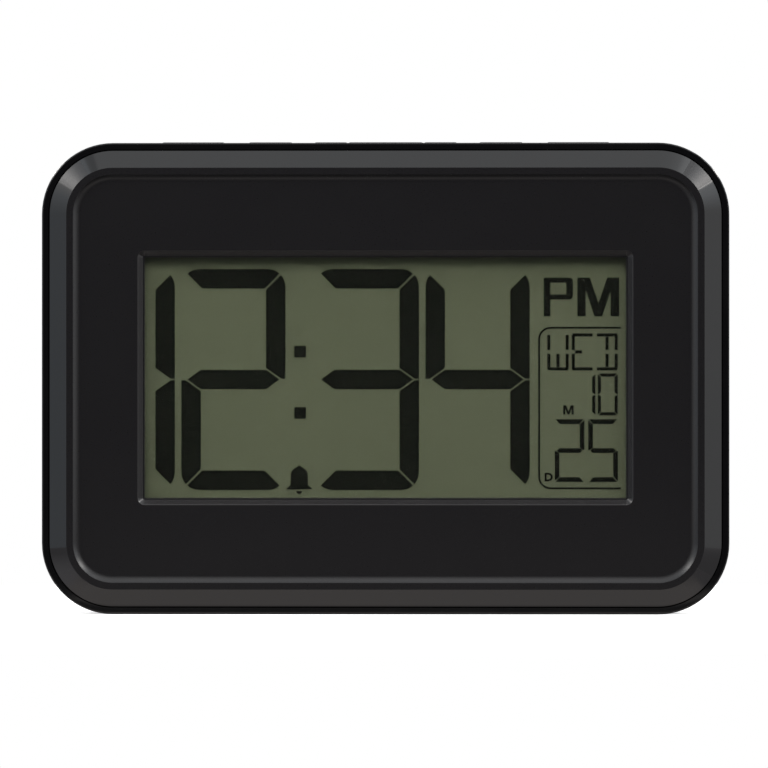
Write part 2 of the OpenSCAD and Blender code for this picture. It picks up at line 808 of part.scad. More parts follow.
module lcd_segments() {
    large = [
        [hour_tens, hour_tens_x], [hour_units, hour_units_x],
        [minute_tens, minute_tens_x], [minute_units, minute_units_x]
    ];
    color("#17180f") slab(y_segments, y_rear_glass, window_z) {
        for (n = large)
            numeral(n[0], n[1], -numeral_drop, numeral_w, numeral_h, numeral_stroke, numeral_r, segment_gap);
        for (s = [-1, 1])
            translate([hour_units_x + colon_pitch/2, s*colon_spacing/2 - numeral_drop - colon_drop])
                square(colon_dot, center = true);
        number_pair(day_value, day_x, day_z, day_w, day_h, day_stroke, day_gap);
        number_pair(month_value, month_x, month_z, month_w, month_h, month_stroke, month_gap);
    }
}

module lcd_holder() {
    color("#d8d8d2") difference() {
        union() {
            block([-holder_half_w, y_lens_back + slip_gap, holder_low_z],
                [holder_half_w, y_board, holder_high_z]);
            for (p = ear_spots()) {
                rod_y(p[0], p[1], y_plate, y_board, ear_r);
                block([min(p[0], sign(p[0])*(holder_half_w - weld)), y_plate, p[1] - ear_r],
                    [max(p[0], sign(p[0])*(holder_half_w - weld)), y_board, p[1] + ear_r]);
            }
        }
        slab(y_lens_back - overrun, y_plate, glass_z)
            square([glass_w + 2*fit_gap, glass_h + 2*fit_gap], center = true);
        translate([board_mid_x, 0, ledge_z])
            block([-zebra_w/2 - zebra_slot_gap, y_plate - overrun, -zebra_t/2 - zebra_slot_gap],
                [zebra_w/2 + zebra_slot_gap, y_board + overrun, zebra_t/2 + zebra_slot_gap]);
        for (p = ear_spots())
            rod_y(p[0], p[1], y_plate - overrun, y_board + overrun, small_screw_r + fit_gap);
        for (p = board_screws)
            rod_y(p[0], p[1], y_board - small_screw_len + board_t - slip_gap, y_board + overrun,
                small_screw_r + pilot_gap);
    }
}

module lcd_holder_screws() {
    color("#b8b8ba") for (p = ear_spots())
        screw(p[0], p[1], y_board, small_head_r, small_head_h, small_screw_r, small_screw_len);
}

module zebra_strip() {
    color("#d9d2c4") block([board_mid_x - zebra_w/2, y_segments, ledge_z - zebra_t/2],
        [board_mid_x + zebra_w/2, y_board, ledge_z + zebra_t/2]);
}

module main_board() {
    color("#1f5b34") difference() {
        block([board_x0, y_board, board_z0], [board_x1, y_board_back, board_z1]);
        for (p = board_screws)
            rod_y(p[0], p[1], y_board - overrun, y_board_back + overrun, small_screw_r + fit_gap);
    }
}

module main_board_screws() {
    color("#b8b8ba") for (p = board_screws)
        screw(p[0], p[1], y_board_back, small_head_r, small_head_h, small_screw_r, small_screw_len);
}

chip_x_share = 0.62;
chip_z_share = 0.45;
crystal_x_share = 0.42;
capacitor_x_shares = [0.52, 0.72];
part_row_share = 0.72;
resistor_count = 5;

function on_board(x_share, z_share) = [board_x0 + board_w*x_share, board_z0 + board_h*z_share];

module clock_chip() {
    spot = on_board(chip_x_share, chip_z_share);
    color("#0d0d0e") translate([spot[0], y_board_back, spot[1]]) rotate([-90, 0, 0])
        rotate_extrude() polygon(concat([[0, 0]], arc(0, 0, chip_r, chip_h, 0, 90)));
}

module quartz_crystal() {
    spot = on_board(crystal_x_share, part_row_share);
    color("#c9c9cc")
        rod_x(spot[0] - crystal_len/2, spot[0] + crystal_len/2, y_board_back + crystal_r,
            spot[1], crystal_r);
}

module capacitors() {
    color("#20304f") for (share = capacitor_x_shares) {
        spot = on_board(share, part_row_share);
        rod_y(spot[0], spot[1], y_board_back, y_board_back + capacitor_h, capacitor_r);
    }
}

module resistors() {
    spot = on_board(chip_x_share, chip_z_share);
    color("#2a2622") for (k = [0:resistor_count - 1])
        translate([spot[0] + (k - (resistor_count - 1)/2)*resistor_pitch - resistor[0]/2, y_board_back,
                spot[1] - chip_r - resistor_pitch])
            cube(resistor);
}

module key_board() {
    color("#1f5b34") block([-key_board_half_w, button_y - key_board_d/2, key_board_z],
        [key_board_half_w, button_y + key_board_d/2, key_board_top_z]);
}

module key_switches() {
    color("#3a3a3c") for (i = [0:6]) translate([button_x(i), button_y, key_board_top_z]) difference() {
        translate([-switch_w/2, -switch_w/2, 0]) cube([switch_w, switch_w, switch_h]);
        translate([0, 0, switch_h - plunger_root - button_travel - slip_gap])
            cylinder(h = switch_h, r = plunger_r + pin_clearance);
    }
}

module button_plunger(i) {
    color("#e8e6e0") translate([button_x(i), button_y, switch_top_z - plunger_root])
        cylinder(h = plunger_h + plunger_root, r = plunger_r);
}

cap_corner_r = 1;

module button_cap(i) {
    w = button_width(i);
    color("#2a2a2c") translate([button_x(i), button_y, 0]) {
        translate([0, 0, flange_z]) linear_extrude(case_h + button_rise - flange_z)
            rounded(w, button_d, cap_corner_r);
        translate([0, 0, flange_z]) linear_extrude(cap_flange_t)
            square([w, button_d + 2*cap_flange_reach], center = true);
        translate([0, 0, plunger_top_z]) cylinder(h = stem_len + cap_flange_t/2, r = stem_r);
    }
}

ribbon_end_share = 0.4;
ribbon_slack = 2;
ribbon_bend = 9;

module ribbon_cable() {
    path = [
        [y_board_back, board_z1 - ribbon_w*ribbon_end_share],
        [y_board_back, board_z1],
        [y_board_back + ribbon_slack, board_z1 + ribbon_bend],
        [y_board_back + ribbon_slack, key_board_z - ribbon_bend],
        [button_y - ribbon_t, key_board_z - ribbon_t],
        [button_y - ribbon_t, key_board_z]
    ];
    color("#a8a49a") translate([ribbon_x - ribbon_w/2, 0, 0]) rotate([90, 0, 90]) linear_extrude(ribbon_w)
        polygon(concat(path, [for (k = [len(path) - 1:-1:0]) path[k] + [ribbon_t, 0]]));
}
module buzzer_disc() {
    color("#c8a24a") rod_y(buzzer_x, buzzer_z, y_inner - ring_h - buzzer_t, y_inner - ring_h, buzzer_r);
}

module buzzer_ceramic() {
    color("#dcd8cc") rod_y(buzzer_x, buzzer_z, y_inner - ring_h - buzzer_t - ceramic_t,
        y_inner - ring_h - buzzer_t, ceramic_r);
}

lead_spread = 3;
lead_drop = 6;

module buzzer_leads() {
    y_disc = y_inner - ring_h - buzzer_t - ceramic_t;
    y_mid = (y_disc + y_board_back)/2;
    color("#b02a24") for (s = [-1, 1])
        wire([
            [buzzer_x + s*lead_spread, y_disc, buzzer_z],
            [buzzer_x + s*lead_spread, y_mid, buzzer_z],
            [buzzer_x + s*lead_spread, y_mid, buzzer_z - lead_drop],
            [buzzer_x + s*lead_spread, y_board_back, buzzer_z - lead_drop]
        ], lead_r);
}

// A cell along X; side 1 has its nub on the right
module cell(z, side) {
    nub_x = bay_x + side*(bay_w/2 - contact_t);
    far_x = nub_x - side*cell_len;
    body_x = nub_x - side*nub_h;
    rod_x(min(far_x, body_x), max(far_x, body_x), cell_y, z, cell_d/2);
    rod_x(min(nub_x, body_x - side*weld), max(nub_x, body_x - side*weld), cell_y, z, nub_r);
}

module battery_upper() {
    color("#b8862f") cell(bay_mid_z + cell_pitch/2, -1);
}

module battery_lower() {
    color("#b8862f") cell(bay_mid_z - cell_pitch/2, 1);
}

// A flat contact against the end wall on one side of the bay
module contact_plate(z0, z1, side) {
    wall_x = bay_x + side*bay_w/2;
    block([min(wall_x, wall_x - side*contact_t), cell_y - contact_half_w, z0],
        [max(wall_x, wall_x - side*contact_t), cell_y + contact_half_w, z1]);
}

// The solder tab of a contact, through its slot in the bay's left wall
module contact_tab(z) {
    wall_x = bay_x - bay_w/2;
    block([wall_x - bay_wall - tab_reach, cell_y - tab_half_w, z - contact_t/2],
        [wall_x + contact_t/2, cell_y + tab_half_w, z + contact_t/2]);
}

// A conical spring along X, swept as one tube from the contact plate to the cell
module contact_spring(z, side) {
    root_x = bay_x + side*(bay_w/2 - contact_t);
    rings = ceil(spring_turns*spring_ring_steps);
    rise = spring_len - 2*spring_wire_r;
    points = [
        for (k = [0:rings], j = [0:spring_sides - 1])
            let (
                turn = 360*k/spring_ring_steps,
                round_r = spring_root_r + (spring_tip_r - spring_root_r)*k/rings,
                a = 360*j/spring_sides,
                reach = round_r + spring_wire_r*cos(a)
            )
            [
                root_x - side*(spring_wire_r + rise*k/rings + spring_wire_r*sin(a)),
                cell_y + reach*cos(turn),
                z + reach*sin(turn)
            ]
    ];
    turned = side > 0 ? [0, 1, 2] : [2, 1, 0];
    skin = [
        for (k = [0:rings - 1], j = [0:spring_sides - 1])
            let (
                a = k*spring_sides + j,
                b = k*spring_sides + (j + 1) % spring_sides
            )
            each [[a, a + spring_sides, b], [b, a + spring_sides, b + spring_sides]]
    ];
    caps = [
        for (j = [1:spring_sides - 2])
            each [[0, j, j + 1], [rings*spring_sides, rings*spring_sides + j + 1, rings*spring_sides + j]]
    ];
    polyhedron(points, [for (f = concat(skin, caps)) [for (t = turned) f[t]]]);
}

module battery_spring_contact() {
    z = bay_mid_z - cell_pitch/2;
    color("#c4c6c8") {
        contact_plate(z - contact_half_h, z + contact_half_h, -1);
        contact_tab(z);
        contact_spring(z, -1);
    }
}

module battery_plate_contact() {
    z = bay_mid_z + cell_pitch/2;
    color("#c4c6c8") {
        contact_plate(z - contact_half_h, z + contact_half_h, -1);
        contact_tab(z);
    }
}

module battery_bridge_contact() {
    color("#c4c6c8") {
        half_h = cell_pitch/2 + contact_half_h;
        contact_plate(bay_mid_z - half_h, bay_mid_z + half_h, 1);
        contact_spring(bay_mid_z + cell_pitch/2, 1);
    }
}

module battery_leads() {
    tab_x = bay_x - bay_w/2 - bay_wall - tab_reach;
    foot_x = board_x1 - 2*lead_spread;
    color("#b02a24") for (s = [-1, 1]) {
        z = bay_mid_z + s*cell_pitch/2;
        wire([
            [tab_x, cell_y, z],
            [foot_x, cell_y, z],
            [foot_x, y_board_back, z]
        ], lead_r);
    }
}

module battery_cover() {
    color("#161617") difference() {
        union() {
            block([bay_x - cover_half_w, y_cover, cover_axis_z],
                [bay_x + cover_half_w, y_back, cover_top_z]);
            rod_x(bay_x - cover_half_w, bay_x + cover_half_w, axis_y, cover_axis_z, knuckle_r);
            rod_x(bay_x - cover_half_w - pin_len, bay_x + cover_half_w + pin_len,
                axis_y, cover_axis_z, pin_r);
        }
        for (k = [0:grip_count - 1])
            block([bay_x - grip_half_w, y_back - grip_depth, cover_top_z - (k + 1)*grip_pitch - grip_w],
                [bay_x + grip_half_w, y_back + overrun, cover_top_z - (k + 1)*grip_pitch]);
    }
}

module fold_out_stand() {
    color("#161617") difference() {
        union() {
            block([-stand_half_w, y_stand, stand_foot_z], [stand_half_w, y_back, stand_axis_z]);
            rod_x(-stand_half_w, stand_half_w, axis_y, stand_axis_z, knuckle_r);
            rod_x(-stand_half_w - pin_len, stand_half_w + pin_len, axis_y, stand_axis_z, pin_r);
        }
        block([-notch_half_w, y_stand - overrun, stand_foot_z - overrun],
            [notch_half_w, y_back + overrun, stand_foot_z + notch_h]);
        block([stand_panel_inset - stand_half_w, y_back - stand_panel_depth,
                stand_foot_z + notch_h + stand_panel_inset],
            [stand_half_w - stand_panel_inset, y_back + overrun, stand_axis_z - stand_panel_inset]);
    }
}

module case_screws() {
    color("#8b8d90") for (p = screw_spots)
        screw(p[0], p[1], y_join + well_floor_t, screw_head_r, screw_head_h, screw_r,
            well_floor_t + screw_bite);
}

front_bezel();
rear_case();
window_lens();
lens_gasket();
lcd_front_polariser();
lcd_front_glass();
lcd_segments();
lcd_rear_glass();
lcd_reflector();
lcd_holder();
lcd_holder_screws();
zebra_strip();
main_board();
clock_chip();
quartz_crystal();
capacitors();
resistors();
main_board_screws();
key_board();
key_switches();
ribbon_cable();
for (i = [0:len(BUTTONS) - 1]) {
    button_cap(i);
    button_plunger(i);
}
buzzer_disc();
buzzer_ceramic();
buzzer_leads();
battery_upper();
battery_lower();
battery_spring_contact();
battery_plate_contact();
battery_bridge_contact();
battery_leads();
battery_cover();
fold_out_stand();
case_screws();
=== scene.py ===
# %% [markdown]
# # A digital desk and wall clock
#
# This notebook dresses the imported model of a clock: a black case with an inset bezel, a large reflective
# display, seven push buttons on the top edge, a battery bay and a fold-out stand at the back. The packed
# model already has every piece at its real size, so nothing here is moved. What is added is what a product
# photographer would see: rounded edges, gloss and grain, the printed parts of the display, and the light of
# a studio.
#
# The lengths are metres. X runs to the right seen from the front, Y from front to back and Z up. The clock
# stands on the plane Z = 0.

# %% Load the frame
import json
import math

import bmesh
import bpy
from mathutils import Matrix, Vector


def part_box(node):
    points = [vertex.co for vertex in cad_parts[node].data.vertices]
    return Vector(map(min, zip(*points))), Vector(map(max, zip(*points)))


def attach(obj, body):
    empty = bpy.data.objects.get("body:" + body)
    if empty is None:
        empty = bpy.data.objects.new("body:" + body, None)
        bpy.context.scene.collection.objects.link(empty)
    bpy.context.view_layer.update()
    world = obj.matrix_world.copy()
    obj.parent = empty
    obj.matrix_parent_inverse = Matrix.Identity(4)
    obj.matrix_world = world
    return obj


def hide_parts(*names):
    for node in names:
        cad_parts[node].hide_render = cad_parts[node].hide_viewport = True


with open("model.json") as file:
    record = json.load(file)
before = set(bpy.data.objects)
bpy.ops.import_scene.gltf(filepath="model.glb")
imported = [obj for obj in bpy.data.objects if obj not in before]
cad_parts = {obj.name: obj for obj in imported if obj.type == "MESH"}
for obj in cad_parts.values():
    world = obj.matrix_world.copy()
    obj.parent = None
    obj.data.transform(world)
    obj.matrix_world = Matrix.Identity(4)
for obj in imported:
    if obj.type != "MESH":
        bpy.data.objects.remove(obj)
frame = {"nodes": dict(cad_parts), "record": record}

mm = 0.001
nodes = frame["nodes"]
body_of = {name: body for body, names in frame["record"]["behaviour"]["bodies"].items() for name in names}
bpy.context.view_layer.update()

# %% [markdown]
# ## The camera
#
# The photograph was taken with a long lens from about two metres, level with the middle of the clock and a
# little to its right: the right side of the case shows a wider dark band than the left. A long lens keeps
# the four bands of the bezel almost equally wide, so the focal length is worked out from the width that the
# picture spans at the clock's front.

# %% Camera
case_low, case_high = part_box("rear_case")
bezel_low, bezel_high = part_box("front_bezel")
front_y = bezel_low.y
camera_distance = 2.0
picture_width = 260.7*mm
aim = Vector((-0.36*mm, front_y, 78.4*mm))
side_step = 35*mm
height_step = -4*mm

camera_data = bpy.data.cameras.new("photo_camera")
camera_data.sensor_width = 36
camera_data.lens = camera_data.sensor_width*camera_distance/picture_width
camera = bpy.data.objects.new("photo_camera", camera_data)
bpy.context.scene.collection.objects.link(camera)
camera.location = aim + Vector((side_step, -camera_distance, height_step))
camera.rotation_mode = "QUATERNION"
camera.rotation_quaternion = (aim - camera.location).to_track_quat("-Z", "Y")
camera_data.clip_end = 20
bpy.context.scene.camera = camera
bpy.context.scene.view_settings.view_transform = "Standard"
print("focal length, mm:", round(camera_data.lens, 1))

# %% [markdown]
# ## Node helpers
#
# Every finish below is a small network of nodes. A few short functions keep those networks readable: one
# adds a node and sets its fields and its unlinked inputs, another starts a material and hands back its
# Principled shader, and the rest stand for the nodes that come up most often.

# %% Node helpers
def add_node(tree, kind, inputs=None, **fields):
    """Adds a node. `inputs` maps an input's name or number to a value or to an output that feeds it."""
    made = tree.nodes.new(kind)
    for name, value in fields.items():
        setattr(made, name, value)
    for key, value in (inputs or {}).items():
        socket = made.inputs[key]
        if isinstance(value, bpy.types.NodeSocket):
            tree.links.new(value, socket)
        else:
            socket.default_value = value
    return made


def math_node(tree, operation, *values):
    """One Math node; returns its output."""
    return add_node(tree, "ShaderNodeMath", dict(enumerate(values)), operation=operation).outputs[0]


def start_material(name, **principled):
    """A new material and its Principled shader, with the constants set on the shader's own sockets."""
    material = bpy.data.materials.new(name)
    material.use_nodes = True
    shader = material.node_tree.nodes["Principled BSDF"]
    for key, value in principled.items():
        socket = shader.inputs[key.replace("_", " ")]
        socket.default_value = (*value, 1) if isinstance(value, tuple) and len(value) == 3 else value
    return material, material.node_tree, shader


def times(tree, first, second):
    """The product of two values."""
    return math_node(tree, "MULTIPLY", first, second)


def place_on_piece(tree):
    """The place on the piece in its own coordinates, in metres."""
    return add_node(tree, "ShaderNodeTexCoord").outputs["Object"]


def blend(tree, share, first, second):
    """A mix of two colours."""
    mix = add_node(tree, "ShaderNodeMix", {"Factor": share, "A": first, "B": second}, data_type="RGBA")
    return mix.outputs["Result"]


def feed(tree, output, shader, name):
    """Links an output to one of the shader's inputs."""
    tree.links.new(output, shader.inputs[name])


# %% [markdown]
# ## The studio
#
# Black gloss plastic has almost no colour of its own: what shows is what it mirrors. The sloping ring of
# the bezel leans back by 34 degrees, so from the front it mirrors things that lie 68 degrees off the
# camera's axis, and the flat panel mirrors the dark room round the camera. The photograph's ring is
# therefore a record of its studio: a wall of light all round, brighter above than below, and two small
# bright boxes at the upper corners. The hollow step inside the ring mirrors a dimmer part of the studio,
# nearer to the camera. The world below is written in the same two terms, the angle round the camera's axis
# and the angle away from it, once for the ring and once for the step. Behind the clock the camera sees
# plain white. The floor is a pale disc, bright enough to melt into that white.

# %% Light by its direction
def ring_of_light():
    """Brightness round the camera's axis, from the right through the top.

    Each point is a turn in degrees, a radiance and a warmth."""
    return [
        (0, 1.06, -0.01), (7, 1.15, -0.01), (14, 1.5, -0.03), (22, 2.0, -0.04), (31, 2.3, -0.03),
        (32.5, 10.8, 0.03), (39, 11.6, 0.03), (41, 3.2, -0.03), (49, 2.9, -0.04), (51, 2.7, -0.02),
        (52, 0.4, 0), (56, 0.4, 0), (57.5, 2.8, -0.02), (62, 2.4, -0.02), (67, 1.7, -0.02),
        (76, 1.45, -0.02), (90, 1.35, -0.02), (110, 1.35, -0.02), (113, 0.9, -0.03), (119, 1.0, -0.03),
        (121.5, 1.7, -0.06), (134, 1.3, -0.06), (141, 8.0, 0.02), (147, 8.0, 0.02), (150, 1.75, 0),
        (160, 1.25, -0.06), (170, 0.98, -0.06), (180, 0.78, -0.08), (215, 0.7, -0.06), (280, 0.82, 0.05),
        (335, 0.7, -0.01), (358, 1.02, -0.01)
    ]


def near_light():
    """The same for the studio close round the camera: what the hollow step of the bezel mirrors."""
    return [
        (0, 0.15, 0.0), (40, 0.35, 0.0), (60, 0.6, 0.0), (90, 0.9, 0.0), (120, 0.8, 0.0), (180, 0.65, 0.0),
        (200, 0.4, 0.0), (230, 0.3, 0.0), (300, 0.3, 0.0), (358, 0.15, 0.0)
    ]


def set_ramp(ramp, points):
    """Fills a colour ramp with (position, colour) points."""
    stops = ramp.color_ramp.elements
    for i, (position, colour) in enumerate(points):
        stop = stops[i] if i < 2 else stops.new(position)
        stop.position = position
        stop.color = (*colour, 1)


ramp_top = 12.0
share_top = 2.0
ring_shares = [
    (-1.0, 0.0), (-0.94, 0.0), (-0.866, 0.08), (-0.766, 0.2), (-0.643, 0.45), (-0.5, 0.85), (-0.375, 1.0),
    (-0.24, 1.0), (-0.105, 0.75), (0.0, 0.3), (0.15, 0.1), (0.6, 0.1), (0.72, 0.9), (1.0, 1.3)
]
near_shares = [
    (-1.0, 0.0), (-0.985, 0.03), (-0.94, 0.3), (-0.866, 0.75), (-0.766, 0.95), (-0.643, 0.85), (-0.5, 0.35),
    (-0.43, 0.0)
]
axis_light = (0.0265, 0.0255, 0.0295)
print("points of light round the axis:", len(ring_of_light()), len(near_light()))

# %% World shader
world = bpy.data.worlds.new("studio")
bpy.context.scene.world = world
world.use_nodes = True
sky = world.node_tree
sky.nodes.clear()
direction = add_node(sky, "ShaderNodeTexCoord").outputs["Generated"]
parts = add_node(sky, "ShaderNodeSeparateXYZ", {0: direction})
turn = math_node(sky, "FRACT", math_node(sky, "DIVIDE",
    math_node(sky, "ARCTAN2", parts.outputs["Z"], parts.outputs["X"]), 2*math.pi))
away = math_node(sky, "MULTIPLY_ADD", parts.outputs["Y"], 0.5, 0.5)


def light_field(points, shares):
    """Light by its turn round the axis times a share by its distance from the axis."""
    round_ramp = add_node(sky, "ShaderNodeValToRGB", {"Fac": turn})
    set_ramp(round_ramp, [(degrees/360, [radiance/ramp_top*(1 + warmth*k) for k in (1, 0, -1)])
        for degrees, radiance, warmth in points])
    away_ramp = add_node(sky, "ShaderNodeValToRGB", {"Fac": away})
    set_ramp(away_ramp, [((along_y + 1)/2, (share/share_top,)*3) for along_y, share in shares])
    light = add_node(sky, "ShaderNodeVectorMath", {0: round_ramp.outputs[0], 1: away_ramp.outputs[0]},
        operation="MULTIPLY")
    return light.outputs[0]


lit = add_node(sky, "ShaderNodeVectorMath", {0: light_field(ring_of_light(), ring_shares),
    1: light_field(near_light(), near_shares)}, operation="ADD")
level = add_node(sky, "ShaderNodeVectorMath",
    {0: lit.outputs[0], 1: (share_top*ramp_top,)*3, 2: axis_light}, operation="MULTIPLY_ADD")
seen = add_node(sky, "ShaderNodeLightPath").outputs["Is Camera Ray"]
studio_light = add_node(sky, "ShaderNodeBackground", {"Color": level.outputs[0], "Strength": 1.0})
backdrop = add_node(sky, "ShaderNodeBackground", {"Color": (1, 1, 1, 1), "Strength": 1.0})
mixed = add_node(sky, "ShaderNodeMixShader", {0: seen, 1: studio_light.outputs[0], 2: backdrop.outputs[0]})
add_node(sky, "ShaderNodeOutputWorld", {0: mixed.outputs[0]})
print("nodes in the world:", len(sky.nodes))

# %% [markdown]
# The floor is white paper where the camera sees it. For the reflections on the clock it is a narrow bright
# strip right in front of it, a dim table beyond and a brighter stretch further out: the lower ring mirrors
# only the first few millimetres and the upper step the far stretch, while the panel would mirror a wide
# bright floor as a haze, which the photograph doesn't have. Left and right of the case the floor glows in
# its own way. The line where that begins is the slanted line in the lower right corner of the ring.

# %% Floor disc
floor_radius = 0.33
strip_half = 118*mm
strip_tint, left_tint, right_tint = (1.0, 0.93, 0.9), (1.0, 0.97, 1.02), (1.0, 0.96, 1.0)
table_tone = (0.05, 0.05, 0.05, 1)
strip_glows = [(-330, 0.05), (-250, 0.12), (-215, 0.5), (-140, 0.5), (-115, 0.05), (-75, 0.02), (-52, 0.02),
    (-26, 0.03), (-19.5, 0.9), (-11.3, 0.9), (-11.1, 0.0), (330, 0.0)]
left_glows = [(-330, 0.02), (-110, 0.02), (-86, 0.45), (-46, 0.4), (-36, 0.5), (-29, 0.62), (-22, 0.78),
    (-11.3, 0.9), (-11.1, 0.0), (330, 0.0)]
right_glows = [(-330, 0.03), (-120, 0.05), (-86, 0.71), (-46, 0.5), (-30, 0.45), (-11.3, 0.45), (-11.1, 0.0),
    (330, 0.0)]
floor_mesh = bmesh.new()
bmesh.ops.create_circle(floor_mesh, cap_ends=True, segments=96, radius=floor_radius)
floor_data = bpy.data.meshes.new("floor")
floor_mesh.to_mesh(floor_data)
floor_mesh.free()
floor = bpy.data.objects.new("floor", floor_data)
bpy.context.scene.collection.objects.link(floor)
print("floor disc, mm across:", round(2*floor_radius/mm))

# %% Floor light
floor_finish, floor_tree, paper = start_material("floor_paper", Base_Color=(0.8, 0.8, 0.8), Roughness=0.9,
    Emission_Color=(1.0, 1.0, 1.0), Emission_Strength=0.6)
spot = add_node(floor_tree, "ShaderNodeSeparateXYZ", {0: place_on_piece(floor_tree)})
along = add_node(floor_tree, "ShaderNodeMapRange", {"Value": spot.outputs["Y"], "From Min": -floor_radius,
    "From Max": floor_radius})


def floor_glow(points, tint):
    """A glow by the distance from front to back, in one tint."""
    ramp = add_node(floor_tree, "ShaderNodeValToRGB", {"Fac": along.outputs[0]})
    set_ramp(ramp, [((y*mm + floor_radius)/(2*floor_radius), [light*part for part in tint])
        for y, light in points])
    return ramp.outputs["Color"]


glow = floor_glow(strip_glows, strip_tint)
for side, points, tint in ((-1, left_glows, left_tint), (1, right_glows, right_tint)):
    outwards = times(floor_tree, spot.outputs["X"], side)
    past_end = math_node(floor_tree, "GREATER_THAN", outwards, strip_half)
    glow = blend(floor_tree, past_end, glow, floor_glow(points, tint))
sheet_glow = add_node(floor_tree, "ShaderNodeEmission", {"Color": glow, "Strength": 1.0})
sheet_body = add_node(floor_tree, "ShaderNodeBsdfDiffuse", {"Color": table_tone})
sheet = add_node(floor_tree, "ShaderNodeAddShader", {0: sheet_glow.outputs[0], 1: sheet_body.outputs[0]})
floor_seen = add_node(floor_tree, "ShaderNodeLightPath").outputs["Is Camera Ray"]
floor_mix = add_node(floor_tree, "ShaderNodeMixShader",
    {0: floor_seen, 1: sheet.outputs[0], 2: paper.outputs[0]})
floor_tree.links.new(floor_mix.outputs[0], floor_tree.nodes["Material Output"].inputs["Surface"])
floor_data.materials.append(floor_finish)
print("glows on the floor:", len(strip_glows), len(left_glows), len(right_glows))

# %% [markdown]
# The display itself is lit by a broad soft box above and in front of the clock. It is what leaves the short
# dark shadow under the window's upper edge, while the rest of the display stays even. The gloss plastic
# gets its reflections from the world, so this lamp only lights and isn't mirrored.

# %% Key light
key_distance = 1.5
key_elevation = 44
key_size = (1.5, 0.75)
key_power = 19.0
key_shift = -0.08
key_data = bpy.data.lights.new("key_light", "AREA")
key_data.shape = "RECTANGLE"
key_data.size, key_data.size_y = key_size
key_data.energy = key_power
key_light = bpy.data.objects.new("key_light", key_data)
bpy.context.scene.collection.objects.link(key_light)
lift = math.radians(key_elevation)
key_light.location = aim + key_distance*Vector((key_shift, -math.cos(lift), math.sin(lift)))
key_light.rotation_mode = "QUATERNION"
key_light.rotation_quaternion = (aim - key_light.location).to_track_quat("-Z", "Y")
key_light.visible_glossy = False
key_light.visible_camera = False
print("key light, watts:", key_power)

# %% [markdown]
# ## Shared effects
#
# Moulded plastic carries the texture of its steel mould, a fine grain that breaks up a reflection, and
# every object that has been handled carries a little dust and a few hairline scuffs. Several finishes need
# them, so each is a node group with named inputs that is built once.

# %% Group helper
def new_group(name, inputs, outputs):
    """An empty shader group with float inputs (name, default) and outputs (name, socket type)."""
    group = bpy.data.node_groups.new(name, "ShaderNodeTree")
    for label, default in inputs:
        socket = group.interface.new_socket(name=label, in_out="INPUT", socket_type="NodeSocketFloat")
        socket.default_value = default
    for label, kind in outputs:
        group.interface.new_socket(name=label, in_out="OUTPUT", socket_type=kind)
    return group, add_node(group, "NodeGroupInput").outputs, add_node(group, "NodeGroupOutput")


# %% Mould grain
def make_moulded_grain():
    """Mould texture: a normal and a roughness spread. `Size` and `Depth` are in millimetres."""
    group, given, result = new_group("moulded_grain",
        [("Size", 0.4), ("Depth", 0.004), ("Waviness", 0.0)],
        [("Normal", "NodeSocketVector"), ("Spread", "NodeSocketFloat")])
    place = place_on_piece(group)
    scale = math_node(group, "DIVIDE", 1000.0, given["Size"])
    grains = add_node(group, "ShaderNodeTexNoise", {"Vector": place, "Scale": scale, "Detail": 2.0,
        "Roughness": 0.55})
    pits = add_node(group, "ShaderNodeTexVoronoi", {"Vector": place, "Scale": scale}, feature="SMOOTH_F1")
    waves = add_node(group, "ShaderNodeTexNoise", {"Vector": place, "Scale": 60.0, "Detail": 1.0})
    fine = math_node(group, "ADD", times(group, grains.outputs[0], 0.6),
        times(group, pits.outputs["Distance"], 0.5))
    fine_height = times(group, fine, times(group, given["Depth"], mm))
    wave_height = times(group, waves.outputs[0], times(group, given["Waviness"], mm))
    height = math_node(group, "ADD", fine_height, wave_height)
    bump = add_node(group, "ShaderNodeBump", {"Height": height, "Distance": 1.0, "Strength": 1.0})
    group.links.new(bump.outputs[0], result.inputs["Normal"])
    group.links.new(math_node(group, "SUBTRACT", grains.outputs[0], 0.5), result.inputs["Spread"])
    return group


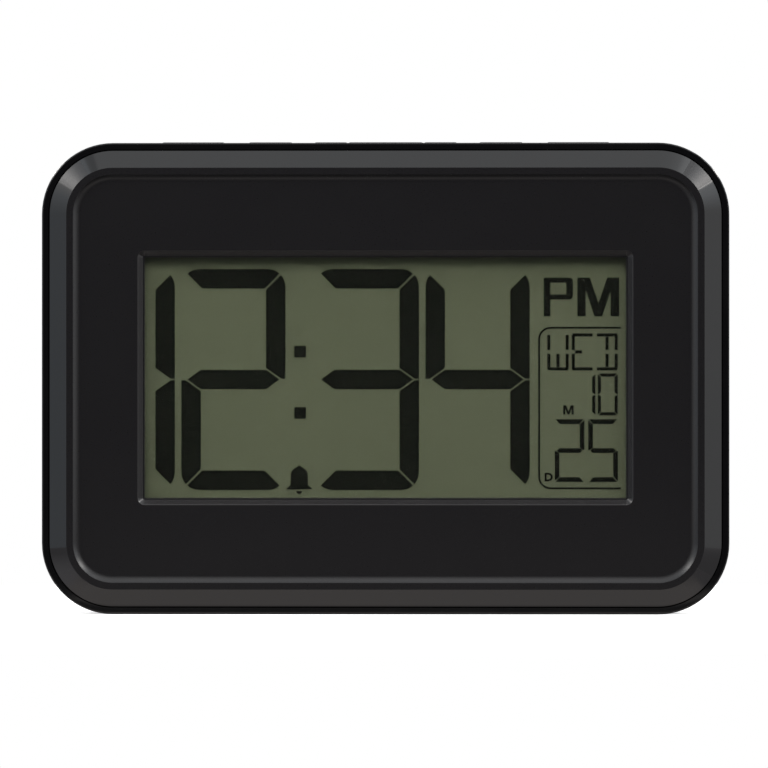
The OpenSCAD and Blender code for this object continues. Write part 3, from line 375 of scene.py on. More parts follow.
# %% Handling
def make_handling():
    """Dust on faces that look up, and hairline scuffs; two masks from 0 to 1."""
    group, given, result = new_group("handling",
        [("Dust", 0.3), ("Scuffs", 0.3)],
        [("Dust", "NodeSocketFloat"), ("Scuffs", "NodeSocketFloat")])
    coordinates = add_node(group, "ShaderNodeTexCoord")
    place = coordinates.outputs["Object"]
    upward = add_node(group, "ShaderNodeSeparateXYZ", {0: coordinates.outputs["Normal"]}).outputs["Z"]
    specks = add_node(group, "ShaderNodeTexVoronoi", {"Vector": place, "Scale": 420.0}, feature="F1")
    speck = add_node(group, "ShaderNodeMapRange", {"Value": specks.outputs["Distance"], "From Min": 0.10,
        "From Max": 0.04, "To Min": 0.0, "To Max": 1.0})
    patches = add_node(group, "ShaderNodeTexNoise", {"Vector": place, "Scale": 45.0, "Detail": 3.0})
    patch = add_node(group, "ShaderNodeMapRange",
        {"Value": patches.outputs[0], "From Min": 0.48, "From Max": 0.75})
    facing = add_node(group, "ShaderNodeMapRange", {"Value": upward, "From Min": -0.2, "From Max": 1.0,
        "To Min": 0.15, "To Max": 1.0})
    film = times(group, patch.outputs[0], 0.35)
    lying = math_node(group, "ADD", film, times(group, speck.outputs[0], patch.outputs[0]))
    dust = times(group, lying, facing.outputs[0])
    group.links.new(times(group, dust, given["Dust"]), result.inputs["Dust"])
    turned = add_node(group, "ShaderNodeMapping", {"Vector": place, "Rotation": (0.3, 0.5, 0.9),
        "Scale": (1.0, 38.0, 38.0)})
    hairs = add_node(group, "ShaderNodeTexNoise", {"Vector": turned.outputs[0], "Scale": 42.0, "Detail": 2.0})
    hair = add_node(group, "ShaderNodeMapRange",
        {"Value": hairs.outputs[0], "From Min": 0.68, "From Max": 0.76})
    group.links.new(times(group, hair.outputs[0], given["Scuffs"]), result.inputs["Scuffs"])
    return group


moulded_grain = make_moulded_grain()
handling = make_handling()
print("groups:", moulded_grain.name, handling.name)

# %% [markdown]
# ## Black plastics
#
# The real case is one black resin with several finishes cut into its mould. The ring and the sides of the
# rear case are polished like a mirror, the window's bevel a little less, the ledge, the step and the panel
# are satin, and the back is matt. One function makes them all: a near-black colour that dust lifts slightly,
# and a roughness that the grain, the dust and the scuffs vary. The window's bevel gets a lighter black than
# the panel although it is the same resin: that is painted light, which makes the bevel read brighter.

# %% Plastic finishes
dust_colour = (0.16, 0.155, 0.145, 1)
dust_roughness, scuff_roughness = 0.4, 0.12


def plastic(name, colour, roughness, size=0.4, depth=0.003, waviness=0.0, spread=0.1, dust=0.1, scuffs=0.1):
    """Moulded plastic with grain, dust and hairline scuffs. Sizes are in millimetres."""
    material, tree, shader = start_material(name, IOR=1.5)
    grain = add_node(tree, "ShaderNodeGroup", node_tree=moulded_grain)
    grain.inputs["Size"].default_value = size
    grain.inputs["Depth"].default_value = depth
    grain.inputs["Waviness"].default_value = waviness
    touch = add_node(tree, "ShaderNodeGroup", node_tree=handling)
    touch.inputs["Dust"].default_value = dust
    touch.inputs["Scuffs"].default_value = scuffs
    feed(tree, blend(tree, touch.outputs["Dust"], (*colour, 1), dust_colour), shader, "Base Color")
    rough = math_node(tree, "ADD", times(tree, grain.outputs["Spread"], spread), roughness)
    rough = math_node(tree, "ADD", rough, times(tree, touch.outputs["Dust"], dust_roughness))
    rough = math_node(tree, "ADD", rough, times(tree, touch.outputs["Scuffs"], scuff_roughness))
    feed(tree, rough, shader, "Roughness")
    feed(tree, grain.outputs["Normal"], shader, "Normal")
    return material


ring_gloss = plastic("ring_gloss", (0.002, 0.002, 0.0022), 0.07, depth=0.0, waviness=0.004, spread=0.03,
    dust=0.02, scuffs=0.05)
bezel_satin = plastic("bezel_satin", (0.0048, 0.0044, 0.0050), 0.29, size=0.45, depth=0.002, spread=0.1,
    dust=0.03, scuffs=0.05)
# Same resin as the panel but a lighter colour: painted light that brightens the bevel.
bevel_polish_painted_bright = plastic("bevel_polish_painted_bright", (0.008, 0.0072, 0.0075), 0.16, size=0.5, depth=0.0, waviness=0.003,
    spread=0.04, dust=0.03, scuffs=0.05)
case_gloss = plastic("case_gloss", (0.002, 0.002, 0.0022), 0.07, size=0.5, depth=0.001, waviness=0.006,
    spread=0.06, dust=0.06, scuffs=0.15)
case_matt = plastic("case_matt", (0.007, 0.007, 0.0075), 0.48, size=0.6, depth=0.012, spread=0.15, dust=0.08,
    scuffs=0.1)
button_satin = plastic("button_satin", (0.008, 0.008, 0.0085), 0.38, size=0.4, depth=0.005, spread=0.12,
    dust=0.1, scuffs=0.2)

# %% [markdown]
# ## Meshes from loops
#
# Every moulded shell of the clock is a set of rounded rectangles one inside another: the case, the ring,
# the ledge, the step, the window, the buttons. So one function draws a rounded rectangle as a loop with the
# same number of points whatever its size, and another joins loop to loop. The edges of a real moulding are
# never sharp, so a third function rounds the corners of a section before it is carried round.

# %% Rounded loops and sections
section_share = 0.45
weld_gap = 1e-7


def rounded_loop(half_width, half_height, radius, steps=20):
    """A rounded rectangle about the origin as (u, v) points, anticlockwise, the same count for any size."""
    loop = []
    for quarter, (side_u, side_v) in enumerate(((1, 1), (-1, 1), (-1, -1), (1, -1))):
        for i in range(steps + 1):
            angle = math.radians(90*(quarter + i/steps))
            loop.append((side_u*(half_width - radius) + radius*math.cos(angle),
                side_v*(half_height - radius) + radius*math.sin(angle)))
    return loop


def softened(points, steps=4):
    """An open section (u, v, radius) with each corner turned into an arc of that radius."""
    outline = []
    last = len(points) - 1
    for i, (u, v, radius) in enumerate(points):
        corner = Vector((u, v))
        if radius == 0 or i in (0, last):
            outline.append(corner)
            continue
        back = Vector(points[i - 1][:2]) - corner
        on = Vector(points[i + 1][:2]) - corner
        cut = min(radius/math.tan(back.angle(on)/2), section_share*back.length, section_share*on.length)
        half = back.angle(on)/2
        radius = cut*math.tan(half)
        centre = corner + (back.normalized() + on.normalized()).normalized()*(radius/math.sin(half))
        start = corner + back.normalized()*cut - centre
        sweep = start.angle_signed(corner + on.normalized()*cut - centre)
        for k in range(steps + 1):
            angle = -sweep*k/steps
            outline.append(centre + Vector((start.x*math.cos(angle) - start.y*math.sin(angle),
                start.x*math.sin(angle) + start.y*math.cos(angle))))
    return outline


# %% Lofts
def loft(mesh, loops, ring=False):
    """Joins loops of equal count; a ring joins the last to the first, otherwise both ends are closed."""
    rows = [[mesh.verts.new(point) for point in loop] for loop in loops]
    pairs = list(zip(rows, rows[1:])) + ([(rows[-1], rows[0])] if ring else [])
    for low, high in pairs:
        for i in range(len(low)):
            j = (i + 1) % len(low)
            mesh.faces.new((low[i], low[j], high[j], high[i]))
    if not ring:
        mesh.faces.new(rows[0][::-1])
        mesh.faces.new(rows[-1])


def clean(mesh):
    """Welds what coincides and turns the faces outwards."""
    bmesh.ops.remove_doubles(mesh, verts=mesh.verts, dist=weld_gap)
    bmesh.ops.dissolve_degenerate(mesh, edges=mesh.edges, dist=weld_gap)
    bmesh.ops.recalc_face_normals(mesh, faces=mesh.faces)


# %% Finished pieces
def plain_mesh(piece):
    """Turns a piece and its modifiers into a plain mesh."""
    evaluated = piece.evaluated_get(bpy.context.evaluated_depsgraph_get())
    mesh = bpy.data.meshes.new_from_object(evaluated)
    piece.modifiers.clear()
    piece.data = mesh
    return piece


def shade(piece, sharp_angle=32):
    """Smooth faces, sharp edges above an angle, and normals weighted by area so that flats stay flat."""
    piece.data.shade_smooth()
    piece.data.set_sharp_from_angle(angle=math.radians(sharp_angle))
    weighted = piece.modifiers.new("weighted", "WEIGHTED_NORMAL")
    weighted.keep_sharp = True
    weighted.weight = 100
    return plain_mesh(piece)


def make_piece(name, mesh, finishes, body, stands_for=()):
    """Turns a bmesh into a finished piece that rides on its body and stands for its nodes."""
    data = bpy.data.meshes.new(name)
    mesh.to_mesh(data)
    mesh.free()
    for finish in finishes:
        data.materials.append(finish)
    piece = bpy.data.objects.new(name, data)
    bpy.context.scene.collection.objects.link(piece)
    shade(piece)
    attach(piece, body)
    if stands_for:
        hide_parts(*stands_for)
    print(name, "faces:", len(piece.data.polygons))
    return piece


# %% [markdown]
# ## Front bezel
#
# The bezel is the clock's face: a polished ring that slopes forwards, a narrow flat ledge, a hollow step
# down to the satin panel, and a bevel round the window. All but the window follow the case's outline at a
# fixed distance, so one section is carried round it. It could be cut from a block with boolean operations,
# but a section keeps the highlights of the ring unbroken round the corners. Each face takes its finish from
# where it is: the ring is polished like a mirror, the window's bevel a little less, and the rest is satin.

# %% Bezel section
case_half_w = case_high.x
case_half_h = (case_high.z - case_low.z)/2
case_mid_z = (case_high.z + case_low.z)/2
case_corner_r = 24.3*mm
ring_inset = bezel_low.x - case_low.x
ring_y = case_low.y
chamfer_w = 5.95*mm
ledge_w = 2.35*mm
step_w = 2.5*mm
panel_recess = 1.5*mm
panel_wall = 2.2*mm
skirt_wall = 2.0*mm
skirt_len = 5.5*mm
ledge_inset = ring_inset + chamfer_w
step_inset = ledge_inset + ledge_w
panel_inset = step_inset + step_w
panel_y = front_y + panel_recess
seat_y = panel_y + panel_wall
riser = 0.45*mm
step_facets = 12
seam_soft, ring_soft, ledge_soft = 0.22*mm, 0.25*mm, 0.15*mm


def step_curve():
    """Below a small riser the step is hollow: it starts at 40 degrees and flattens out into the panel."""
    curve = [(step_inset, front_y + riser, 0)]
    for i in range(1, step_facets):
        share = i/step_facets
        curve.append((step_inset + step_w*share, panel_y - (panel_recess - riser)*(1 - share)**2, 0))
    return curve


front_section = softened([
    (ring_inset, ring_y + skirt_len, 0),
    (ring_inset, ring_y, seam_soft),
    (ledge_inset, front_y, ring_soft),
    (step_inset, front_y, ledge_soft),
    *step_curve(),
    (panel_inset, panel_y, 0)
])
back_section = [
    (ledge_inset, seat_y),
    (ring_inset + skirt_wall, ring_y + skirt_wall/2),
    (ring_inset + skirt_wall, ring_y + skirt_len)
]
print("front section points:", len(front_section))

# %% Window section
lens_low, lens_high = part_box("window_lens")
view_low, view_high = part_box("lcd_segments")
window_z = (lens_low.z + lens_high.z)/2
lens_margin = 5*mm
bevel_w = 2.5*mm
lens_fit = 0.3*mm
rib_t = 2*mm
view_half_w = lens_high.x - lens_margin
view_half_h = (lens_high.z - lens_low.z)/2 - lens_margin


def case_loop(inset, y):
    """The case's outline at a distance inwards, at a depth."""
    return [(u, y, case_mid_z + v) for u, v in
        rounded_loop(case_half_w - inset, case_half_h - inset, case_corner_r - inset)]


def window_loop(reach, y, radius):
    """The window's outline at a distance outwards from the visible display, at a depth."""
    return [(u, y, window_z + v) for u, v in rounded_loop(view_half_w + reach, view_half_h + reach, radius)]


window_lip = 0.62*mm
lip_t = 0.45*mm
lip_y = seat_y - lip_t
panel_lead = 1*mm
bevel_trim = 0.2*mm
bevel_soft, lip_soft, mouth_soft = 0.5*mm, 0.06*mm, 0.1*mm
window_section = softened([
    (bevel_w + panel_lead, panel_y, 0),
    (bevel_w - bevel_trim, panel_y, bevel_soft),
    (window_lip, lip_y, lip_soft),
    (0.0, lip_y, mouth_soft),
    (0.0, seat_y, 0)
])[1:]
print("window section points:", len(window_section))

# %% Bezel mesh
least_corner_r = 0.15*mm
ring_reach = 0.5*mm
lean_low, lean_high = 0.5, 0.985
bezel = bmesh.new()
loops = [case_loop(inset, y) for inset, y in front_section]
loops += [window_loop(reach, y, max(reach, least_corner_r)) for reach, y in window_section]
rib_inner = lens_margin + lens_fit
loops += [
    window_loop(rib_inner, seat_y, bevel_w),
    window_loop(rib_inner, lens_high.y, bevel_w),
    window_loop(rib_inner + rib_t, lens_high.y, bevel_w),
    window_loop(rib_inner + rib_t, seat_y, bevel_w)
]
loops += [case_loop(inset, y) for inset, y in back_section]
loft(bezel, loops, ring=True)
clean(bezel)
ring_faces = bevel_faces = 0
for face in bezel.faces:
    centre = face.calc_center_median()
    inset = case_half_w - abs(centre.x), case_half_h - abs(centre.z - case_mid_z)
    leans = lean_low < -face.normal.y < lean_high
    if leans and min(inset) < ledge_inset and centre.y < ring_y + ring_reach:
        face.material_index = 1
        ring_faces += 1
    elif leans and min(inset) > panel_inset + bevel_w:
        face.material_index = 2
        bevel_faces += 1
print("polished faces on the ring and on the window's bevel:", ring_faces, bevel_faces)

# %% Bosses and posts behind the bezel
case_boss_r, case_pilot_r, post_r, post_pilot_r = 3.6*mm, 1.35*mm, 2.8*mm, 0.95*mm
boss_root = 0.3*mm
boss_ease = 0.25*mm
nearly_round = 0.999
screw_grip = 3.4*mm


def add_boss(mesh, x, z, y_end, outer, inner):
    """A tube that stands on the panel's back and takes a screw."""
    section = [(outer, seat_y - boss_root), (outer, y_end - boss_ease), (outer - boss_ease, y_end),
        (inner + boss_ease, y_end), (inner, y_end - boss_ease), (inner, seat_y - boss_root)]
    loops = [[(x + u, y, z + v) for u, v in rounded_loop(r, r, nearly_round*r, steps=6)] for r, y in section]
    loft(mesh, loops, ring=True)


case_screw_x, case_side_x, case_screw_rise = 102*mm, 106*mm, 62.25*mm
case_screw_spots = [(side*x, case_mid_z + rise) for side in (-1, 1)
    for x, rise in ((case_screw_x, -case_screw_rise), (case_screw_x, case_screw_rise), (case_side_x, 0))]
small_head_r = 2*mm
low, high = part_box("lcd_holder_screws")
holder_screw_spots = [(x, z) for x in (low.x + small_head_r, high.x - small_head_r)
    for z in (low.z + small_head_r, high.z - small_head_r)]
for x, z in case_screw_spots:
    add_boss(bezel, x, z, bezel_high.y, case_boss_r, case_pilot_r)
for x, z in holder_screw_spots:
    add_boss(bezel, x, z, low.y + screw_grip, post_r, post_pilot_r)
bmesh.ops.recalc_face_normals(bezel, faces=bezel.faces)
make_piece("front_bezel_shell", bezel, [bezel_satin, ring_gloss, bevel_polish_painted_bright], "clock",
    ["front_bezel"])

# %% [markdown]
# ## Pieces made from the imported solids
#
# The rear case has a battery bay, a stand recess, hanger pockets, screw wells and a rose of sound holes.
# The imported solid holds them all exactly, so a copy of its mesh is used: the loose triangles are merged,
# flat areas get as few faces as they need, and a small bevel rounds every sharp edge as the mould's cutter
# would.

# %% Moulded copies
flat_angle = 0.3
edge_angle = 35
packed_weld_gap = 1e-6


def moulded_copy(node, finishes, edge=0.2*mm, reshape=None, pick=None):
    """A copy of a node's mesh with merged faces and rounded edges, which stands for the node.

    `pick` chooses the finish of a face from its middle and its normal."""
    mesh = bmesh.new()
    mesh.from_mesh(nodes[node].data)
    bmesh.ops.remove_doubles(mesh, verts=mesh.verts, dist=packed_weld_gap)
    if reshape:
        reshape(mesh)
    bmesh.ops.dissolve_limit(mesh, angle_limit=math.radians(flat_angle), verts=mesh.verts, edges=mesh.edges)
    bmesh.ops.triangulate(mesh, faces=[face for face in mesh.faces if len(face.verts) > 4])
    data = bpy.data.meshes.new(node)
    mesh.to_mesh(data)
    mesh.free()
    for finish in finishes:
        data.materials.append(finish)
    piece = bpy.data.objects.new(node + "_moulding", data)
    bpy.context.scene.collection.objects.link(piece)
    if edge:
        bevel = piece.modifiers.new("edges", "BEVEL")
        bevel.limit_method = "ANGLE"
        bevel.angle_limit = math.radians(edge_angle)
        bevel.width = edge
        bevel.segments = 2
        bevel.miter_outer = "MITER_ARC"
        plain_mesh(piece)
    if pick:
        for face in piece.data.polygons:
            face.material_index = pick(face.center, face.normal)
    shade(piece)
    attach(piece, body_of[node])
    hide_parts(node)
    print(piece.name, "faces:", len(piece.data.polygons))
    return piece


# %% Case mouldings
rim_round = 1.8*mm
rim_edge = 0.55*mm
rim_slack = 0.03*mm
arc_start, arc_end = 1, 91
back_facing, back_start = 0.97, 7*mm


def crisp_rim(mesh):
    """Draws the arc of the case's front rim up to a smaller radius: in the photo it is a thin dark line."""
    moved = 0
    for vert in mesh.verts:
        along = Vector((abs(vert.co.x) - case_half_w + case_corner_r,
            abs(vert.co.z - case_mid_z) - case_half_h + case_corner_r))
        rounded = along.x > 0 and along.y > 0
        inset = case_corner_r - (along.length if rounded else max(along))
        across, deep = rim_round - inset, rim_round - (vert.co.y - ring_y)
        turn = math.degrees(math.atan2(deep, across))
        if abs(math.hypot(across, deep) - rim_round) > rim_slack or not arc_start < turn < arc_end:
            continue
        shift = rim_edge*(1 - math.cos(math.radians(turn))) - inset
        straight = Vector((float(along.x > along.y), float(along.y >= along.x)))
        away = along.normalized() if rounded else straight
        vert.co.x -= math.copysign(away.x, vert.co.x)*shift
        vert.co.z -= math.copysign(away.y, vert.co.z - case_mid_z)*shift
        vert.co.y = ring_y + rim_edge*(1 - math.sin(math.radians(turn)))
        moved += 1
    print("rim vertices drawn up:", moved)


def matt_back(centre, normal):
    """The mould's texture covers what looks backwards; the sides are smooth."""
    return int(normal.y > back_facing and centre.y > back_start)


moulded_copy("rear_case", [case_gloss, case_matt], reshape=crisp_rim, pick=matt_back)
moulded_copy("battery_cover", [case_matt], edge=0.25*mm)
moulded_copy("fold_out_stand", [case_matt], edge=0.3*mm)

# %% [markdown]
# ## Buttons
#
# The seven keys are thin caps that stand 0.6 mm proud of the case, so from the front only their rounded top
# ends show. Each is a rounded rectangle carried upwards to a soft edge round a flat top, with the flange
# under the case's wall that keeps it from falling out and the stem that meets the plunger.

# %% Button caps
KEYS = ["alarm", "time", "down", "snooze", "up", "mode", "date"]
button_edge = 0.55*mm
cap_corner_r = 1*mm
flange_t = 1.2*mm
flange_reach = 1.2*mm
flange_corner_r = 0.2*mm
top_wall = 2.3*mm
flange_gap = 0.1*mm
crown_share = 0.85
cap_facets = 6
stem_r = 2*mm


def button_cap(key):
    """The cap of one key, with its flange and its stem, as a bmesh."""
    low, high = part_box(key + "_button")
    half_w = (high.x - low.x)/2
    half_d = (high.y - low.y)/2 - flange_reach
    centre = Vector(((low.x + high.x)/2, (low.y + high.y)/2, 0))
    flange_z = case_high.z - top_wall - flange_gap - flange_t
    cap = bmesh.new()

    def level(reach, z, radius):
        return [(centre.x + u, centre.y + v, z) for u, v in
            rounded_loop(half_w + reach, half_d + reach, radius, steps=6)]

    section = [(0.0, flange_z)]
    for i in range(cap_facets + 1):
        angle = math.radians(90*i/cap_facets)
        fall = button_edge*(1 - math.sin(angle))*crown_share
        section.append((-button_edge*(1 - math.cos(angle)), high.z - fall))
    loft(cap, [level(reach, z, max(cap_corner_r + reach, flange_corner_r)) for reach, z in section])
    flange_loop = rounded_loop(half_w, half_d + flange_reach, flange_corner_r, steps=3)
    flange = [[(centre.x + u, centre.y + v, z) for u, v in flange_loop]
        for z in (flange_z, flange_z + flange_t)]
    loft(cap, flange)
    stem_loop = rounded_loop(stem_r, stem_r, stem_r*nearly_round, steps=6)
    stem = [[(centre.x + u, centre.y + v, z) for u, v in stem_loop] for z in (low.z, flange_z + flange_t/2)]
    loft(cap, stem)
    clean(cap)
    return cap


for key in KEYS:
    make_piece(key + "_button_cap", button_cap(key), [button_satin], key + "_key",
        [key + "_button"])

# %% [markdown]
# ## Window and display
#
# Behind the window lies a clear lens, then the liquid crystal sandwich: a polariser, two glasses with the
# dark segments between them, and a grey-green reflector. The picture is drawn by the shadow-dark segments
# over the reflector, a millimetre apart, which gives each numeral its faint soft shadow. Light has to pass
# all the clear layers twice, so their shaders let shadow rays through.

# %% Clear layers
smear_share = 0.4


def clear_layer(name, tint, roughness, alpha=None, ior=1.49):
    """A clear sheet.

    Without alpha it refracts and lets shadow rays pass. With alpha it is a thin tinted veil."""
    if alpha is None:
        kind = {"Transmission_Weight": 1.0}
    else:
        kind = {"Alpha": alpha, "Specular_IOR_Level": 0.0}
    material, tree, shader = start_material(name, Base_Color=tint, IOR=ior, **kind)
    smears = add_node(tree, "ShaderNodeTexNoise",
        {"Vector": place_on_piece(tree), "Scale": 55.0, "Detail": 4.0})
    rough = math_node(tree, "ADD", times(tree, smears.outputs[0], roughness*smear_share), roughness)
    feed(tree, rough, shader, "Roughness")
    if alpha is None:
        shadow = add_node(tree, "ShaderNodeLightPath").outputs["Is Shadow Ray"]
        through = add_node(tree, "ShaderNodeBsdfTransparent")
        mix = add_node(tree, "ShaderNodeMixShader", {0: shadow, 1: shader.outputs[0], 2: through.outputs[0]})
        tree.links.new(mix.outputs[0], tree.nodes["Material Output"].inputs["Surface"])
    return material


lens_clear = clear_layer("lens_clear", (0.97, 0.98, 0.97), 0.01)
polariser_film = clear_layer("polariser_film", (0.006, 0.0065, 0.004), 0.3, alpha=0.14)
display_glass = clear_layer("display_glass", (0.02, 0.03, 0.02), 0.02, alpha=0.02, ior=1.52)


# %% Frosted glass, reflector and segments
cloud_scale, segment_cloud_scale = 14.0, 90.0


def soft_clouds(tree, scale, detail):
    """A value that drifts softly over the piece."""
    return add_node(tree, "ShaderNodeTexNoise",
        {"Vector": place_on_piece(tree), "Scale": scale, "Detail": detail}).outputs[0]


def rear_glass_finish():
    """The rear glass with its frosted rear polariser, which scatters most of the light."""
    material, tree, shader = start_material("rear_glass_frosted", Specular_IOR_Level=0.1, Roughness=0.6,
        Alpha=0.8)
    clouds = soft_clouds(tree, cloud_scale, 3.0)
    tint = blend(tree, clouds, (0.117, 0.130, 0.078, 1), (0.129, 0.143, 0.088, 1))
    feed(tree, tint, shader, "Base Color")
    return material


def reflector_finish():
    """Pearly grey-green foil: fine metal flakes in a tinted lacquer."""
    material, tree, shader = start_material("reflector_foil", Specular_IOR_Level=0.1, Roughness=0.6)
    flakes = add_node(tree, "ShaderNodeTexVoronoi", {"Vector": place_on_piece(tree), "Scale": 2600.0},
        feature="F1")
    fleck = add_node(tree, "ShaderNodeSeparateColor", {0: flakes.outputs["Color"]}).outputs[0]
    clouds = soft_clouds(tree, cloud_scale, 3.0)
    share = math_node(tree, "ADD", times(tree, fleck, 0.3), times(tree, clouds, 0.5))
    tint = blend(tree, share, (0.115, 0.128, 0.076, 1), (0.131, 0.145, 0.090, 1))
    feed(tree, tint, shader, "Base Color")
    return material


def segment_finish():
    """The dark of a driven segment, faintly uneven."""
    material, tree, shader = start_material("segment_dark", Specular_IOR_Level=0.05, Roughness=0.55)
    clouds = soft_clouds(tree, segment_cloud_scale, 2.0)
    tint = blend(tree, clouds, (0.0015, 0.0017, 0.0008, 1), (0.0024, 0.0027, 0.0014, 1))
    feed(tree, tint, shader, "Base Color")
    return material


rear_glass_frosted = rear_glass_finish()
reflector_foil = reflector_finish()
segment_dark = segment_finish()

# %% [markdown]
# ## Printed signs of the display
#
# Besides the numerals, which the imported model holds, the display shows a half-day sign, a weekday, two
# small letters that tell month from day, a fine frame round the date, and an alarm bell. They lie in the
# same thin layer as the numerals. Each is a flat outline given that layer's thickness. The weekday is drawn
# with fourteen-segment cells, as such a display really makes it, and the other signs are plain outlines.

# %% Sign helpers
layer_front, layer_back = view_low.y, view_high.y
signs = bmesh.new()


def add_outline(points):
    """One flat closed outline as thick as the segment layer. Points are millimetres from the middle."""
    front = [signs.verts.new((u*mm, layer_front, window_z + v*mm)) for u, v in points]
    back = [signs.verts.new((u*mm, layer_back, window_z + v*mm)) for u, v in points]
    signs.faces.new(front)
    signs.faces.new(back[::-1])
    for i in range(len(points)):
        j = (i + 1) % len(points)
        signs.faces.new((front[j], front[i], back[i], back[j]))


def arc_points(u, v, radius, start, end, steps=8):
    """Points on an arc about (u, v), from one angle to another in degrees."""
    return [(u + radius*math.cos(math.radians(start + (end - start)*i/steps)),
        v + radius*math.sin(math.radians(start + (end - start)*i/steps))) for i in range(steps + 1)]


def add_band(centre_line, thickness):
    """A stroke of even thickness along a line of points."""
    half = thickness/2
    left, right = [], []
    for i, (u, v) in enumerate(centre_line):
        before = Vector(centre_line[max(i - 1, 0)])
        after = Vector(centre_line[min(i + 1, len(centre_line) - 1)])
        side = (after - before).normalized()
        left.append((u - side.y*half, v + side.x*half))
        right.append((u + side.y*half, v - side.x*half))
    add_outline(left + right[::-1])


# %% Half-day sign
sign_top, sign_low = 34.1, 20.9
stem_left, stem_right = 53.9, 56.2
bowl_left, bowl_right, bowl_edge = 56.2, 61.6, 63.9
bowl_top, bowl_bottom, bowl_low = 32.35, 28.35, 26.6
bowl_r, bowl_inner_r = 1.5, 0.3
half_edge = (bowl_top + bowl_bottom)/2
add_outline([(stem_left, sign_top), (stem_left, sign_low), (stem_right, sign_low), (stem_right, sign_top)])
bowl_turn = bowl_right - bowl_inner_r
add_outline([(bowl_left, sign_top), (bowl_left, bowl_top), (bowl_turn, bowl_top),
    *arc_points(bowl_turn, bowl_top - bowl_inner_r, bowl_inner_r, 90, 0, 3),
    (bowl_right, half_edge), (bowl_edge, half_edge),
    *arc_points(bowl_edge - bowl_r, sign_top - bowl_r, bowl_r, 0, 90)])
add_outline([(bowl_left, bowl_bottom), (bowl_left, bowl_low),
    *arc_points(bowl_edge - bowl_r, bowl_low + bowl_r, bowl_r, -90, 0),
    (bowl_edge, half_edge), (bowl_right, half_edge),
    *arc_points(bowl_turn, bowl_bottom + bowl_inner_r, bowl_inner_r, 0, -90, 3)])
post_left, post_inner = 65.35, 68.2
post_right, post_outer = 76.65, 79.6
shoulder_left, shoulder_right = 69.6, 75.5
foot_left, foot_right = 71.2, 73.8
notch_u, notch_v = 72.55, 25.4
drop = (sign_top - notch_v)/(notch_u - shoulder_left)
add_outline([(post_left, sign_top), (post_left, sign_low), (post_inner, sign_low),
    (post_inner, sign_low + (foot_left - post_inner)*drop), (foot_left, sign_low), (foot_right, sign_low),
    (post_right, sign_low + (post_right - foot_right)*drop), (post_right, sign_low), (post_outer, sign_low),
    (post_outer, sign_top), (shoulder_right, sign_top), (notch_u, notch_v), (shoulder_left, sign_top)])
print("half-day sign, mm high:", round(sign_top - sign_low, 1))

# %% Weekday in fourteen-segment cells
cell_half_w, cell_top, cell_low = 3.66, 15.1, 2.48
cell_stroke, cell_gap = 1.08, 0.12
cell_mid = (cell_top + cell_low)/2
cell_centres = [58.77, 67.1, 75.44]
WEEKDAY = ["fedbcl", "fedag", "adbcil"]


def add_bar(u0, v0, u1, v1):
    """An upright rectangle between two corners."""
    add_outline([(u0, v1), (u0, v0), (u1, v0), (u1, v1)])


def weekday_bar(centre, letter):
    """One bar of a cell, by the usual letter of its place; g is the left half of the middle bar."""
    left, right = centre - cell_half_w, centre + cell_half_w
    inner = cell_gap + cell_stroke/2
    bar_top, bar_low = cell_top - cell_stroke, cell_low + cell_stroke
    post_left, post_right = centre - cell_stroke/2, centre + cell_stroke/2
    bars = {
        "a": (left + cell_gap*2, bar_top, right - cell_gap*2, cell_top),
        "d": (left + cell_gap*2, cell_low, right - cell_gap*2, bar_low),
        "f": (left, cell_mid + inner, left + cell_stroke, cell_top - cell_stroke/2),
        "b": (right - cell_stroke, cell_mid + inner, right, cell_top - cell_stroke/2),
        "e": (left, cell_low + cell_stroke/2, left + cell_stroke, cell_mid - inner),
        "c": (right - cell_stroke, cell_low + cell_stroke/2, right, cell_mid - inner),
        "g": (left + cell_stroke, cell_mid - cell_stroke/2, centre - cell_gap, cell_mid + cell_stroke/2),
        "i": (post_left, cell_mid + inner, post_right, bar_top - cell_gap),
        "l": (post_left, bar_low + cell_gap, post_right, cell_mid - inner)
    }
    return bars[letter]


for centre, letters in zip(cell_centres, WEEKDAY):
    for letter in letters:
        add_bar(*weekday_bar(centre, letter))
print("bars in the weekday:", sum(len(letters) for letters in WEEKDAY))

# %% Date frame
frame_left, frame_right = 52.35, 80.1
frame_top, frame_low = 17.0, -37.65
frame_r, frame_stroke = 3.9, 0.64
add_band([(frame_right, frame_top), *arc_points(frame_left + frame_r, frame_top - frame_r, frame_r, 90, 180),
    *arc_points(frame_left + frame_r, frame_low + frame_r, frame_r, 180, 270), (frame_right, frame_low)],
    frame_stroke)

# %% Small letters
m_left, m_right, m_low, m_top, m_stroke = 60.55, 64.1, -12.5, -9.4, 0.72
m_mid = (m_left + m_right)/2
m_notch, m_foot_half, m_shoulder = 1.15, 0.32, 1.0
m_inner_left, m_inner_right = m_left + m_stroke, m_right - m_stroke
add_outline([(m_left, m_top), (m_left, m_low), (m_inner_left, m_low), (m_inner_left, m_top - m_notch),
    (m_mid - m_foot_half, m_low), (m_mid + m_foot_half, m_low), (m_inner_right, m_top - m_notch),
    (m_inner_right, m_low), (m_right, m_low), (m_right, m_top), (m_right - m_shoulder, m_top),
    (m_mid, m_low + m_shoulder), (m_left + m_shoulder, m_top)])
d_left, d_right, d_low, d_top, d_stroke = 54.2, 57.0, -35.3, -32.35, 0.72
d_r = (d_top - d_low)/2
d_mid = (d_top + d_low)/2
d_bar, d_wall = 0.62, 0.7
d_inner, d_turn = d_left + d_stroke, d_right - d_r
add_bar(d_left, d_low, d_inner, d_top)
add_outline([(d_inner, d_top), (d_inner, d_top - d_bar), (d_turn, d_top - d_bar),
    *arc_points(d_turn, d_mid, d_r - d_wall, 90, -90), (d_inner, d_low + d_bar), (d_inner, d_low),
    *arc_points(d_turn, d_mid, d_r, -90, 90)])

